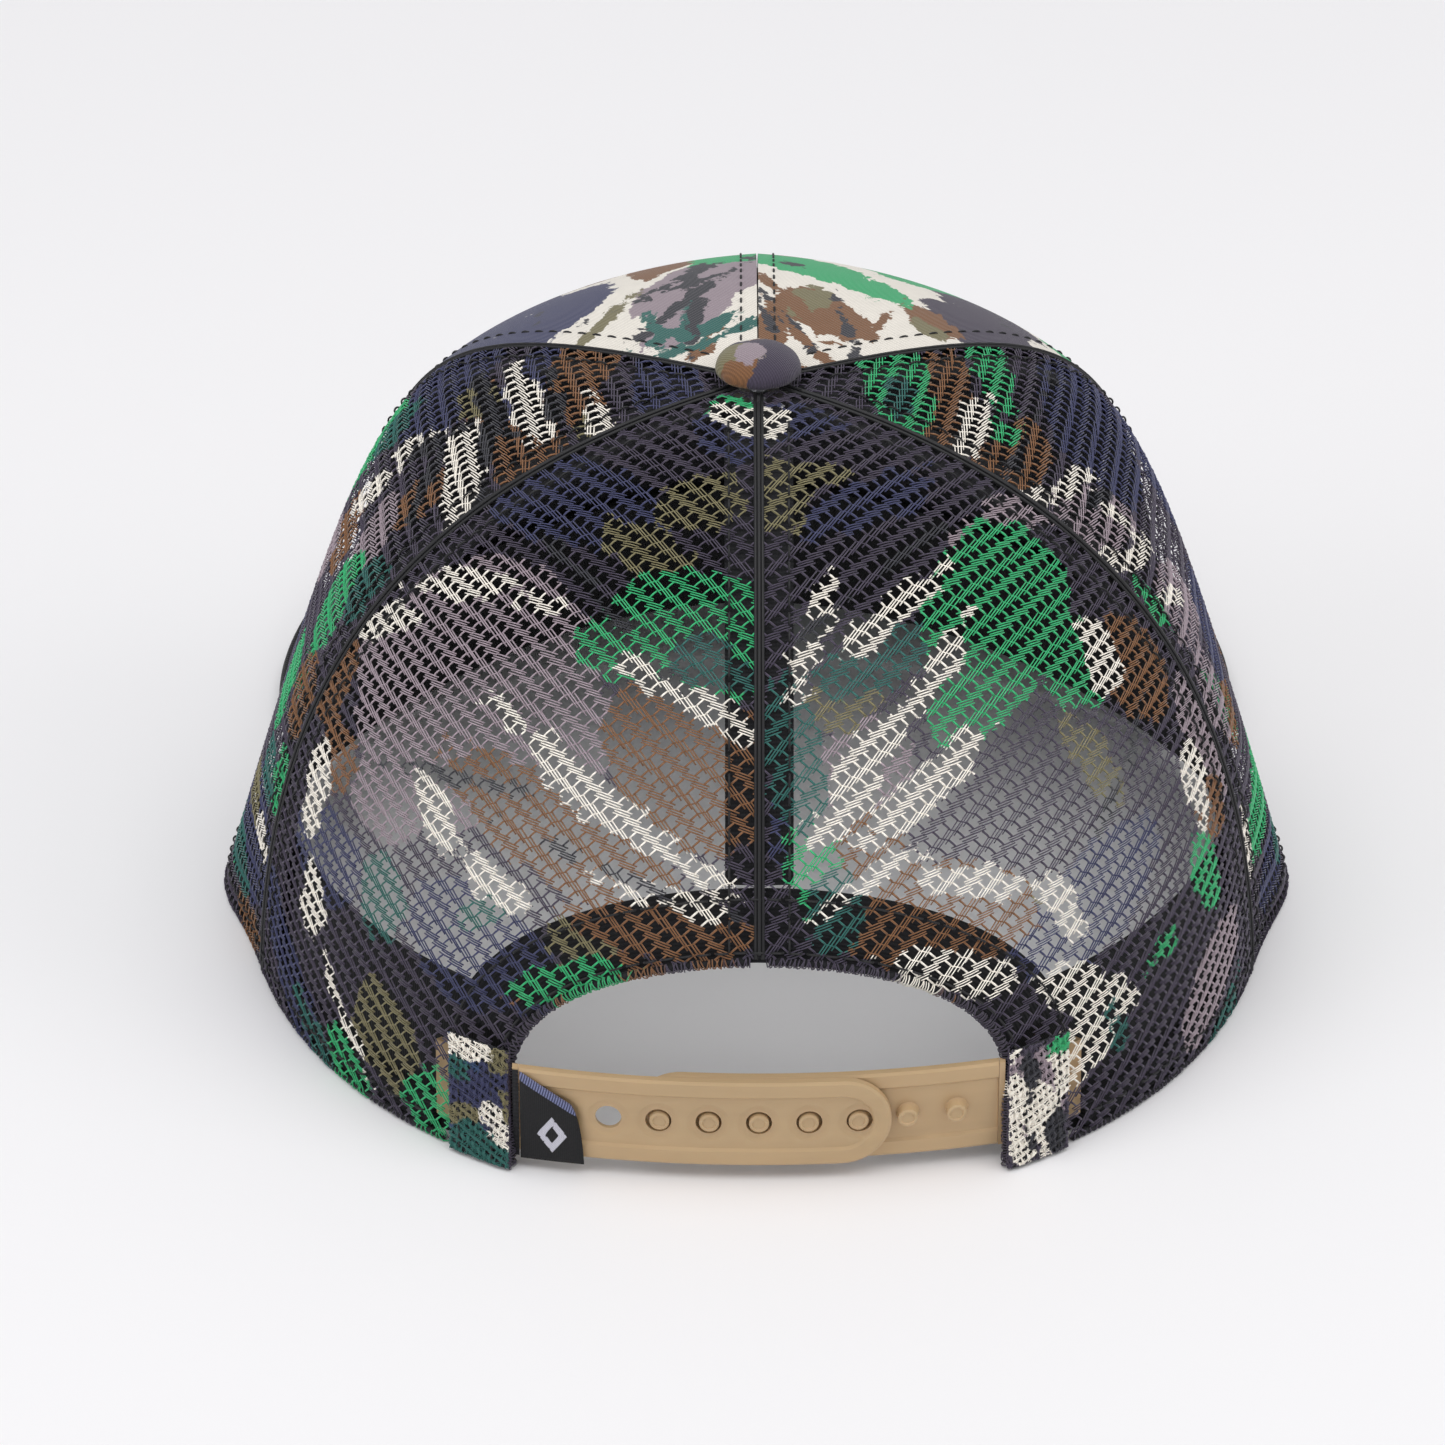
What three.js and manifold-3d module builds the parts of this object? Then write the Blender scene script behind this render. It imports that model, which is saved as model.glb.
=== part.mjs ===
// Trucker mesh cap: two twill front panels, four mesh panels, a curved visor and a snap strap closure.
// Millimetres, +Z up, visor towards -Y, rear opening towards +Y, wearer's left towards +X.
import * as THREE from 'three';
import { mergeVertices } from 'three/addons/utils/BufferGeometryUtils.js';
import Module from 'manifold-3d';

const wasm = await Module();
wasm.setup();

// ---------------------------------------------------------------- driving dimensions
const GAP = 0.3; // clearance between pieces that touch
const LAYER_GAP = 0.5; // clearance between curved layers that lie on each other
const CLOTH = 0.8; // mesh and twill
const CROWN_HEIGHT = 112.5; // top of the panels under the button

// The crown's ribs, from the front centre round to the back centre. rim and top are the rib's azimuth in
// degrees at the rim and at the button, radius and foot place the rim, lean tilts the wall inwards, rise
// and reach shape the shoulder, and lift raises the front above the button.
const RIBS = [
  { station: 0, rim: -90, top: -90, radius: 93, foot: 17, lean: 11, rise: 96, reach: 62, lift: 10 },
  { station: 1, rim: -35, top: -24, radius: 100.5, foot: 4.4, lean: 11, rise: 90, reach: 78, lift: 1 },
  { station: 1.5, rim: -8, top: 6, radius: 101.5, foot: 0, lean: 16, rise: 80, reach: 70, lift: 0 },
  { station: 2, rim: 13, top: 31, radius: 94, foot: 0, lean: 2, rise: 71, reach: 62, lift: 0 },
  { station: 3, rim: 90, top: 90, radius: 98, foot: 0, lean: 12, rise: 67, reach: 49, lift: 0 },
];
const FRONT_SIDE = 1; // station of the front-side seams
const BACK_SIDE = 2; // station of the back-side seams
const BACK = 3; // station of the centre back seam
const SEAM_SWEEP = 1.5; // how late a seam swings from its rim azimuth to its top azimuth
const CROWN_HOLE = 5; // radius at which the panels end under the button

const ARCH = { halfWidth: 44, height: 25, base: 17 }; // rear opening: an ellipse on straight sides
const ARCH_TAPE_WIDTH = 12;
const ARCH_TAPE_START = 12; // degrees above the ellipse's long axis

const TAPE = { thickness: 0.6, halfWidth: 6, foot: 7.6, taper: 0.42, innerRadius: 7 };
const BUCKRAM = { foot: 1, innerRadius: 12, margin: 1.2 }; // margin: how far it stays from each seam
const BAND = { height: 30, thickness: 1.2, end: 46.5 };
const HEM = { height: 7, end: 59 };
const ANCHOR = { near: 44, far: 54.5, height: 22, thickness: 0.9 };

const BUTTON = { radius: 8.2, height: 5.2, edge: 1, seat: 1.2, shank: 1.5 }; // edge: its upright rim
const WASHER = { radius: 6.4, thickness: 1, drop: 1.2 }; // drop: below the panels' inner face

const VISOR = { halfWidth: 93, reach: 84, centerY: -80, wrap: 104, archDrop: 16.2, board: 2 };

const STRAP = { sag: 5, thickness: 1.6, bottom: 3, height: 17.2, flexX: 42.2, tuck: 0.4 };
const SNAP = { pitch: 8.85, hole: 2.3, peg: 1.8, pegHeight: 1.7 };
const HOLE_STRAP = { tip: -23.3, holes: [-2, -1, 0, 1, 2, 3, 4] };
const PEG_STRAP = { tip: 22, pegs: [-4, -3, -2, -1, 0, 1, 2] };
const SEWN_END = { near: 44.4, far: 58, thickness: 1.6, bottom: 4.5, top: 18.2 };
const LABEL = {
  near: 42, far: 30.8, bottom: 2.2, top: 20, thickness: 0.8,
  shoulderX: 34, shoulderZ: 13, bendX: 31.4, bendZ: 10.5, // the free edge: slanting, then curved
};

// ---------------------------------------------------------------- depths below the crown's outer face
const UNDER_CLOTH = CLOTH + LAYER_GAP;
const UNDER_BUCKRAM = UNDER_CLOTH + CLOTH + LAYER_GAP;
const UNDER_FOLD = UNDER_CLOTH + CLOTH; // behind the mesh's folded edge at the rear opening
const UNDER_TAPE = UNDER_BUCKRAM + TAPE.thickness + LAYER_GAP;

// ---------------------------------------------------------------- small helpers
const radians = degrees => (degrees * Math.PI) / 180;
const lerp = (a, b, t) => a + (b - a) * t;
const steps = count => Array.from({ length: count + 1 }, (_, i) => i / count);

// The t between low and high where the rising function f reaches 0.
function solve(f, low, high) {
  for (let i = 0; i < 40; i++) {
    const middle = (low + high) / 2;
    if (f(middle) < 0) low = middle;
    else high = middle;
  }
  return (low + high) / 2;
}

// ---------------------------------------------------------------- the crown's surface
const MIRRORED = ['radius', 'foot', 'lean', 'rise', 'reach'];

// A rib value at any station, as a smooth cubic through the ribs. Most values are level where they cross
// the centre seams; the azimuths run on, and lift keeps the front's ridge.
function ribValue(key, station) {
  const i = Math.min(RIBS.findIndex(rib => rib.station >= station - 1e-9) || 1, RIBS.length - 1);
  const slope = k => {
    const before = RIBS[Math.max(k - 1, 0)];
    const after = RIBS[Math.min(k + 1, RIBS.length - 1)];
    const atEnd = k === 0 || k === RIBS.length - 1;
    if (atEnd && MIRRORED.includes(key)) return 0;
    return (after[key] - before[key]) / (after.station - before.station);
  };
  const from = RIBS[i - 1];
  const to = RIBS[i];
  const span = to.station - from.station;
  const t = (station - from.station) / span;
  return (
    (2 * t ** 3 - 3 * t ** 2 + 1) * from[key] +
    (t ** 3 - 2 * t ** 2 + t) * span * slope(i - 1) +
    (3 * t ** 2 - 2 * t ** 3) * to[key] +
    (t ** 3 - t ** 2) * span * slope(i)
  );
}

// A point of the crown's outer face. The station runs from -3 to 3, positive on the wearer's left, and
// wraps at the centre back; s runs from 0 at the rim to 1 under the button.
function crownPoint(a, s) {
  const wrapped = a > BACK ? a - 2 * BACK : a < -BACK ? a + 2 * BACK : a;
  const station = Math.abs(wrapped);
  const side = wrapped < 0 ? -1 : 1;
  const azimuth = radians(lerp(ribValue('rim', station), ribValue('top', station), s ** SEAM_SWEEP));
  const lean = radians(ribValue('lean', station));
  const rise = ribValue('rise', station);
  const foot = Math.max(0, ribValue('foot', station)); // the sides stand level
  const radius = ribValue('radius', station);
  const wall = [radius - rise * Math.sin(lean), foot + rise * Math.cos(lean)];
  const shoulder = [ribValue('reach', station), CROWN_HEIGHT + ribValue('lift', station)];
  const weights = [(1 - s) ** 3, 3 * (1 - s) ** 2 * s, 3 * (1 - s) * s ** 2, s ** 3];
  const r = weights[0] * radius + weights[1] * wall[0] + weights[2] * shoulder[0];
  const z = weights[0] * foot + weights[1] * wall[1] + weights[2] * shoulder[1] + weights[3] * CROWN_HEIGHT;
  return new THREE.Vector3(side * r * Math.cos(azimuth), r * Math.sin(azimuth), z);
}

// The crown's face moved by offset along its outward normal. The rim stays level, so it can stand.
function crownOffset(a, s, offset) {
  const step = 1e-3;
  const point = crownPoint(a, s);
  const along = crownPoint(a + step, s).sub(crownPoint(a - step, s));
  const up = crownPoint(a, Math.min(s + step, 0.999)).sub(crownPoint(a, Math.max(s - step, 0)));
  const normal = along.cross(up).normalize();
  if (s === 0) normal.setZ(0).normalize();
  return point.addScaledVector(normal, offset);
}

const stationWidth = (a, s) => crownPoint(a + 0.01, s).distanceTo(crownPoint(a - 0.01, s)) / 0.02;
const ringRadius = (a, s) => Math.hypot(crownPoint(a, s).x, crownPoint(a, s).y);

// A line beside a seam, shift millimetres from it, as the station at each s.
const besideSeam = (a, shift) => s => a + shift / stationWidth(a, s);

// The s where the crown is a given height above the rim, and where it is a given radius from the axis.
const sAtHeight = (a, height) => solve(s => crownPoint(a, s).z - crownPoint(a, 0).z - height, 0, 0.7);
const sAtRadius = (a, radius) => solve(s => radius - ringRadius(a, s), 0.5, 1);

// The station and s of the rear face at a given x and z.
const REAR_REACH = 0.4; // how far past the back-side seams the rear face is looked for, in stations
function rearPlace(x, z) {
  const stationAt = s => solve(a => Math.abs(x) - crownPoint(a, s).x, BACK_SIDE - REAR_REACH, BACK);
  const s = solve(t => crownPoint(stationAt(t), t).z - z, 0, 0.7);
  return { a: Math.sign(x || 1) * stationAt(s), s };
}
function rearPoint(x, z, offset) {
  const { a, s } = rearPlace(x, z);
  return crownOffset(a, z === 0 ? 0 : s, offset);
}

// ---------------------------------------------------------------- solids
// One closed body from two matching grids of points, an outer and an inner one.
function sheetBody(columns, rows, outerAt, innerAt) {
  const positions = [];
  const index = [];
  for (const pointAt of [outerAt, innerAt])
    for (let i = 0; i <= columns; i++)
      for (let j = 0; j <= rows; j++) positions.push(...pointAt(i, j).toArray());
  const layer = (columns + 1) * (rows + 1);
  const outer = (i, j) => i * (rows + 1) + j;
  const inner = (i, j) => layer + outer(i, j);
  const quad = (a, b, c, d) => index.push(a, b, c, a, c, d);
  for (let i = 0; i < columns; i++)
    for (let j = 0; j < rows; j++) {
      quad(outer(i, j), outer(i + 1, j), outer(i + 1, j + 1), outer(i, j + 1));
      quad(inner(i, j), inner(i, j + 1), inner(i + 1, j + 1), inner(i + 1, j));
    }
  for (let i = 0; i < columns; i++) {
    quad(outer(i + 1, 0), outer(i, 0), inner(i, 0), inner(i + 1, 0));
    quad(outer(i, rows), outer(i + 1, rows), inner(i + 1, rows), inner(i, rows));
  }
  for (let j = 0; j < rows; j++) {
    quad(outer(0, j), outer(0, j + 1), inner(0, j + 1), inner(0, j));
    quad(outer(columns, j + 1), outer(columns, j), inner(columns, j), inner(columns, j + 1));
  }
  return outwardGeometry(positions, index);
}

// An indexed geometry whose faces point out, whichever way its grid ran.
function outwardGeometry(positions, index) {
  const corner = k => new THREE.Vector3().fromArray(positions, 3 * index[k]);
  let volume = 0;
  for (let k = 0; k < index.length; k += 3) volume += corner(k).dot(corner(k + 1).cross(corner(k + 2)));
  if (volume < 0) index.reverse();
  const geometry = new THREE.BufferGeometry();
  geometry.setAttribute('position', new THREE.Float32BufferAttribute(positions, 3));
  geometry.setIndex(index);
  return geometry;
}

// A layer of the crown between two edges (station at each s), from low to high (s at each share across).
function crownLayer({ from, to, low, high, shares, rows, depth, thickness }) {
  const place = (i, j) => {
    const share = shares[i];
    const s = lerp(low(share), high(share), j / rows);
    return [lerp(from(s), to(s), share), s];
  };
  const face = offset => (i, j) => crownOffset(...place(i, j), offset);
  return sheetBody(shares.length - 1, rows, face(-depth), face(-depth - thickness));
}

function toSolid(geometry) {
  const bare = geometry.clone();
  bare.deleteAttribute('normal');
  bare.deleteAttribute('uv');
  const merged = mergeVertices(bare, 1e-5);
  return new wasm.Manifold(
    new wasm.Mesh({
      numProp: 3,
      vertProperties: new Float32Array(merged.attributes.position.array),
      triVerts: new Uint32Array(merged.index.array),
    })
  );
}

function toGeometry(solid) {
  const mesh = solid.getMesh();
  const geometry = new THREE.BufferGeometry();
  geometry.setAttribute('position', new THREE.BufferAttribute(new Float32Array(mesh.vertProperties), 3));
  geometry.setIndex(new THREE.BufferAttribute(new Uint32Array(mesh.triVerts), 1));
  return geometry;
}

const cap = new THREE.Group();

function piece(name, geometry, color, roughness, metalness = 0) {
  const mesh = new THREE.Mesh(geometry, new THREE.MeshStandardMaterial({ color, roughness, metalness }));
  mesh.name = name;
  cap.add(mesh);
}

const SIDES = [
  { side: 1, word: 'left' },
  { side: -1, word: 'right' },
];

// ---------------------------------------------------------------- panels
function panel({ side, from, to, low, shares, rows, depth, thickness, innerRadius, margin = GAP / 2 }) {
  const high = share => sAtRadius(side * lerp(from, to, share), innerRadius);
  return crownLayer({
    from: besideSeam(side * from, side * margin),
    to: besideSeam(side * to, -side * margin),
    low: low ?? (() => 0),
    high,
    shares: shares ?? steps(12),
    rows: rows ?? 12,
    depth,
    thickness,
  });
}

function makeFrontPanels({ side, word }) {
  const place = { side, from: 0, to: FRONT_SIDE };
  const cloth = { depth: 0, thickness: CLOTH, innerRadius: CROWN_HOLE };
  const { innerRadius, margin } = BUCKRAM;
  const backing = { depth: UNDER_CLOTH, thickness: CLOTH, innerRadius, margin };
  const low = share => sAtHeight(side * lerp(0, FRONT_SIDE, share), BUCKRAM.foot);
  piece(`front_panel_${word}`, panel({ ...place, ...cloth }), 0x6a5a48, 0.85);
  piece(`front_buckram_${word}`, panel({ ...place, ...backing, low }), 0x1b1b1d, 0.9);
}

function makeSideMesh({ side, word }) {
  const place = { side, from: FRONT_SIDE, to: BACK_SIDE, depth: 0, thickness: CLOTH };
  piece(`side_mesh_panel_${word}`, panel({ ...place, innerRadius: CROWN_HOLE }), 0x2f5d4a, 0.7);
}

// The rear opening's edge: the height of its arch at x, and 0 beside it.
function archHeight(x) {
  const share = Math.abs(x) / ARCH.halfWidth;
  return share >= 1 ? 0 : ARCH.base + ARCH.height * Math.sqrt(1 - share * share);
}

// The back panels' columns crowd towards the opening's corner, where the edge turns from level to upright.
const CORNER_WIDTH = 0.004; // share of the panel's width in which the edge turns
function makeBackMesh({ side, word }) {
  const corner = rearPlace(ARCH.halfWidth, ARCH.base).a - BACK_SIDE;
  const overArch = steps(7).map(t => lerp(corner + CORNER_WIDTH, 1, 1 - Math.cos((t * Math.PI) / 2)));
  const shares = [...steps(8).map(t => t * corner), ...overArch];
  const low = share => {
    if (share <= corner) return 0;
    const a = side * lerp(BACK_SIDE, BACK, share);
    return solve(s => crownPoint(a, s).z - archHeight(crownPoint(a, s).x), 0, 0.7);
  };
  const place = { side, from: BACK_SIDE, to: BACK, low, shares, depth: 0, thickness: CLOTH };
  piece(`back_mesh_panel_${word}`, panel({ ...place, innerRadius: CROWN_HOLE }), 0x4a4650, 0.7);
}

// ---------------------------------------------------------------- tapes, hems and sweatband
function seamTape(station, depth, low) {
  const halfWidth = s => Math.min(TAPE.halfWidth, TAPE.taper * ringRadius(station, s));
  return crownLayer({
    from: s => besideSeam(station, -halfWidth(s))(s),
    to: s => besideSeam(station, halfWidth(s))(s),
    low: () => low,
    high: () => sAtRadius(station, TAPE.innerRadius),
    shares: steps(2),
    rows: 12,
    depth,
    thickness: TAPE.thickness,
  });
}

function makeSeamTapes() {
  const black = [0x141416, 0.85];
  const low = station => sAtHeight(station, TAPE.foot);
  const archTop = ARCH.base + ARCH.height + ARCH_TAPE_WIDTH + LAYER_GAP;
  piece('seam_tape_front_center', seamTape(0, UNDER_BUCKRAM, low(0)), ...black);
  piece('seam_tape_back_center', seamTape(BACK, UNDER_CLOTH, sAtHeight(BACK, archTop)), ...black);
  for (const { side, word } of SIDES) {
    const frontSide = seamTape(side * FRONT_SIDE, UNDER_BUCKRAM, low(side * FRONT_SIDE));
    const backSide = seamTape(side * BACK_SIDE, UNDER_CLOTH, low(side * BACK_SIDE));
    piece(`seam_tape_front_side_${word}`, frontSide, ...black);
    piece(`seam_tape_back_side_${word}`, backSide, ...black);
  }
}

// The tape round the rear opening, behind the folded edge of the mesh.
function makeArchTape() {
  const columns = 24;
  const rows = 2;
  const at = offset => (i, j) => {
    const angle = radians(lerp(ARCH_TAPE_START, 180 - ARCH_TAPE_START, i / columns));
    const out = (j / rows) * ARCH_TAPE_WIDTH;
    const x = (ARCH.halfWidth + out) * Math.cos(angle);
    const z = ARCH.base + (ARCH.height + out) * Math.sin(angle);
    return rearPoint(x, z, offset);
  };
  const body = sheetBody(columns, rows, at(-UNDER_FOLD), at(-UNDER_FOLD - TAPE.thickness));
  piece('arch_tape', body, 0x141416, 0.85);
}

function makeSweatband() {
  const end = rearPlace(BAND.end, BAND.height / 2).a;
  const stationAt = share => lerp(-end, end, share);
  const body = crownLayer({
    from: () => -end,
    to: () => end,
    low: () => 0,
    high: share => sAtHeight(stationAt(share), BAND.height),
    shares: steps(44),
    rows: 2,
    depth: UNDER_TAPE,
    thickness: BAND.thickness,
  });
  piece('sweatband', body, 0x17171a, 0.95);
}

function makeRimHem({ side, word }) {
  const end = rearPlace(HEM.end, HEM.height / 2).a;
  const stationAt = share => side * lerp(FRONT_SIDE, end, share);
  const body = crownLayer({
    from: besideSeam(side * FRONT_SIDE, side * GAP),
    to: () => side * end,
    low: () => 0,
    high: share => sAtHeight(stationAt(share), HEM.height),
    shares: steps(12),
    rows: 1,
    depth: UNDER_CLOTH,
    thickness: UNDER_TAPE - LAYER_GAP - UNDER_CLOTH,
  });
  piece(`rim_hem_${word}`, body, 0x24242a, 0.85);
}

// A patch of the rear wall between two x and two z, from one depth to another.
function rearPatch({ x, z, columns, rows, outer, inner }) {
  const at = offset => (i, j) => rearPoint(lerp(x[0], x[1], i / columns), lerp(z[0], z[1], j / rows), offset);
  return sheetBody(columns, rows, at(outer), at(inner));
}

// The folded mesh hem beside the opening, which the strap's end is sewn under.
function makeStrapAnchor({ side, word }) {
  const x = [side * ANCHOR.near, side * ANCHOR.far];
  const outer = GAP + ANCHOR.thickness;
  const body = rearPatch({ x, z: [0, ANCHOR.height], columns: 3, rows: 3, outer, inner: GAP });
  piece(`strap_anchor_${word}`, body, 0x55555c, 0.7);
}

// ---------------------------------------------------------------- snap closure
const STRAP_TOP = STRAP.bottom + STRAP.height;
const strapEnd = rearPoint(STRAP.flexX, STRAP_TOP / 2, -STRAP.tuck);
const STRAP_RADIUS = (STRAP.flexX ** 2 + STRAP.sag ** 2) / (2 * STRAP.sag) + STRAP.thickness;
const STRAP_CENTER_Y = strapEnd.y + STRAP.sag - STRAP_RADIUS; // both straps bend about this upright axis
const PAST_END = 0.02; // radians the bands run past their ends before they are cut
const CUTTER = 60; // depth of the prisms that cut the straps' outlines
const OVERCUT = 1; // how far a hole's bar stands out of the strap on both sides
const PEG_ROOT = 0.5; // how deep a peg is rooted in its strap

// An upright curved band between two radii, from z to z + height, wide enough for either strap.
function curvedBand(inner, outer, z, height) {
  const shape = new THREE.Shape();
  const reach = Math.asin(STRAP.flexX / (STRAP_RADIUS - STRAP.thickness)) + PAST_END;
  const start = Math.PI / 2 - reach;
  const end = Math.PI / 2 + reach;
  shape.absarc(0, STRAP_CENTER_Y, outer, start, end, false);
  shape.absarc(0, STRAP_CENTER_Y, inner, end, start, true);
  const band = new THREE.ExtrudeGeometry(shape, { depth: height, bevelEnabled: false, curveSegments: 20 });
  return toSolid(band.translate(0, 0, z));
}

// A cutter with a strap's outline: square at its sewn end, round at its tip.
function strapOutline(sewnX, tipX) {
  const radius = STRAP.height / 2;
  const middle = STRAP.bottom + radius;
  const way = Math.sign(tipX - sewnX);
  const shape = new THREE.Shape();
  shape.moveTo(sewnX, STRAP.bottom);
  shape.lineTo(tipX - way * radius, STRAP.bottom);
  shape.absarc(tipX - way * radius, middle, radius, -Math.PI / 2, Math.PI / 2, way < 0);
  shape.lineTo(sewnX, STRAP_TOP);
  return cutter(shape);
}

// A prism along Y, from a shape drawn in x and z.
function cutter(shape) {
  const prism = new THREE.ExtrudeGeometry(shape, { depth: CUTTER, bevelEnabled: false, curveSegments: 8 });
  return toSolid(prism.rotateX(Math.PI / 2).translate(0, strapEnd.y + CUTTER / 2, 0));
}

// A round bar pointing out from the straps' axis, at the given pitch step, between two radii.
function radialBar(step, radius, inner, outer) {
  const bar = new THREE.CylinderGeometry(radius, radius, outer - inner, 14);
  bar.translate(0, (inner + outer) / 2, 0);
  bar.rotateZ(-(step * SNAP.pitch) / STRAP_RADIUS);
  return toSolid(bar.translate(0, STRAP_CENTER_Y, STRAP.bottom + STRAP.height / 2));
}

function makeStraps() {
  const tan = [0xc2a27c, 0.45];
  const outerFace = STRAP_RADIUS;
  const innerFace = STRAP_RADIUS - STRAP.thickness;
  const pegOuter = innerFace - GAP;
  const pegInner = pegOuter - STRAP.thickness;

  let holes = curvedBand(innerFace, outerFace, STRAP.bottom, STRAP.height);
  holes = holes.intersect(strapOutline(STRAP.flexX, HOLE_STRAP.tip));
  for (const step of HOLE_STRAP.holes)
    holes = holes.subtract(radialBar(step, SNAP.hole, innerFace - OVERCUT, outerFace + OVERCUT));
  piece('hole_strap', toGeometry(holes), ...tan);

  let pegs = curvedBand(pegInner, pegOuter, STRAP.bottom, STRAP.height);
  pegs = pegs.intersect(strapOutline(-STRAP.flexX, PEG_STRAP.tip));
  for (const step of PEG_STRAP.pegs)
    pegs = pegs.add(radialBar(step, SNAP.peg, pegOuter - PEG_ROOT, pegOuter + SNAP.pegHeight));
  piece('peg_strap', toGeometry(pegs), ...tan);

  for (const { name, side } of [{ name: 'hole_strap', side: 1 }, { name: 'peg_strap', side: -1 }]) {
    const x = [side * SEWN_END.near, side * SEWN_END.far];
    const z = [SEWN_END.bottom, SEWN_END.top];
    const outer = -UNDER_CLOTH;
    const body = rearPatch({ x, z, columns: 3, rows: 1, outer, inner: outer - SEWN_END.thickness });
    piece(`${name}_sewn_end`, body, ...tan);
  }
}

// The flag label lies over the hole strap, from the hem to a slanting, rounded free edge.
function makeFlagLabel() {
  const shape = new THREE.Shape();
  shape.moveTo(LABEL.near, LABEL.bottom);
  shape.lineTo(LABEL.near, LABEL.top);
  shape.lineTo(LABEL.shoulderX, LABEL.shoulderZ);
  shape.quadraticCurveTo(LABEL.bendX, LABEL.bendZ, LABEL.far, LABEL.bottom);
  const inner = STRAP_RADIUS + GAP;
  const band = curvedBand(inner, inner + LABEL.thickness, 0, LABEL.top + GAP);
  piece('flag_label', toGeometry(band.intersect(cutter(shape))), 0x1b1c22, 0.8);
}

// ---------------------------------------------------------------- button
function lathe(profile) {
  const points = profile.map(([r, z]) => new THREE.Vector2(r, z));
  return new THREE.LatheGeometry(points, 24).rotateX(Math.PI / 2);
}

function makeButton() {
  const seat = CROWN_HEIGHT + BUTTON.seat;
  const { radius, height, edge, shank } = BUTTON;
  const dome = steps(6).map(t => {
    const angle = (t * Math.PI) / 2;
    return [radius * Math.cos(angle), seat + edge + (height - edge) * Math.sin(angle)];
  });
  dome[dome.length - 1][0] = 0;
  piece('top_button', merged(lathe([[0, seat], [radius, seat], ...dome])), 0x5a4a3c, 0.85);

  const washerTop = CROWN_HEIGHT - UNDER_CLOTH - WASHER.drop;
  const washerFoot = washerTop - WASHER.thickness;
  const shankTop = seat - GAP;
  const shankFoot = washerTop + GAP;
  const pin = lathe([[0, shankFoot], [shank, shankFoot], [shank, shankTop], [0, shankTop]]);
  piece('button_shank', merged(pin), 0xb8b8bc, 0.35, 1);
  const across = WASHER.radius;
  const disc = lathe([[0, washerFoot], [across, washerFoot], [across, washerTop], [0, washerTop]]);
  piece('button_washer', merged(disc), 0xb8b8bc, 0.35, 1);
}

// A lathe's seam and pole vertices joined, so that the body is closed.
function merged(geometry) {
  return toGeometry(toSolid(geometry));
}

// ---------------------------------------------------------------- visor
// The visor's lower face: from the front panels' rim to an elliptical edge, arched from side to side.
function visorPoint(share, out, level) {
  const root = crownOffset(share * FRONT_SIDE, 0, GAP);
  const turn = radians(share * VISOR.wrap);
  const x = VISOR.halfWidth * Math.sin(turn);
  const y = VISOR.centerY - VISOR.reach * Math.cos(turn);
  const z = RIBS[0].foot - VISOR.archDrop * (x / VISOR.halfWidth) ** 2;
  const edge = new THREE.Vector3(x, y, z);
  return root.lerp(edge, out).add(new THREE.Vector3(0, 0, level));
}

function makeVisor() {
  const columns = 24;
  const rows = 3;
  const at = level => (i, j) => visorPoint((2 * i) / columns - 1, j / rows, level);
  const layer = (low, thickness) => sheetBody(columns, rows, at(low + thickness), at(low));
  const boardLow = CLOTH + GAP;
  const topLow = boardLow + VISOR.board + GAP;
  piece('visor_under_cover', layer(0, CLOTH), 0x3a4a40, 0.85);
  piece('visor_board', layer(boardLow, VISOR.board), 0xe8e8e8, 0.5);
  piece('visor_top_cover', layer(topLow, CLOTH), 0x4c5a46, 0.85);
}

// ---------------------------------------------------------------- assembly
for (const side of SIDES) {
  makeFrontPanels(side);
  makeSideMesh(side);
  makeBackMesh(side);
  makeRimHem(side);
  makeStrapAnchor(side);
}
makeSeamTapes();
makeArchTape();
makeSweatband();
makeStraps();
makeFlagLabel();
makeButton();
makeVisor();

// The origin is the centre of the cap's footprint, on the surface that it stands on.
const box = new THREE.Box3().setFromObject(cap);
cap.position.set(-(box.min.x + box.max.x) / 2, -(box.min.y + box.max.y) / 2, -box.min.z);

export default cap;
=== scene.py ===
"""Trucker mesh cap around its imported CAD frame: metres, +Z up, visor towards -Y, wearer's left towards +X.

Shapes are worked out in millimetres about the button's axis, and moved into the frame when a mesh is made.
"""
import math

import bpy
import numpy as np
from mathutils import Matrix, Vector
from mathutils.geometry import delaunay_2d_cdt


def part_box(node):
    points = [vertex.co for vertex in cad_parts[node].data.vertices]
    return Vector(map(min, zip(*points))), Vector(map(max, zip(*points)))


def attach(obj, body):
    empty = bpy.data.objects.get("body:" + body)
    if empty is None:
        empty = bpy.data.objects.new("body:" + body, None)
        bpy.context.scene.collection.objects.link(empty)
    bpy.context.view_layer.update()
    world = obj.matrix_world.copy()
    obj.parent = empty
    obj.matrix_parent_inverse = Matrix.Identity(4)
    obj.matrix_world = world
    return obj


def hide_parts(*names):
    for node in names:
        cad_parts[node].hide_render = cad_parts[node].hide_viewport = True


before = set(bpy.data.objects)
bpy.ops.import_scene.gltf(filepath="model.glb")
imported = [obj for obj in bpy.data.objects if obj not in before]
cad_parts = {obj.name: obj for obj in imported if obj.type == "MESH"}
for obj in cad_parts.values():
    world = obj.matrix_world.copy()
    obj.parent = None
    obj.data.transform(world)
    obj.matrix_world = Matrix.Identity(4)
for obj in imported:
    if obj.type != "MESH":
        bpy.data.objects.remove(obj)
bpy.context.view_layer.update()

rng = np.random.default_rng(7)

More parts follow.
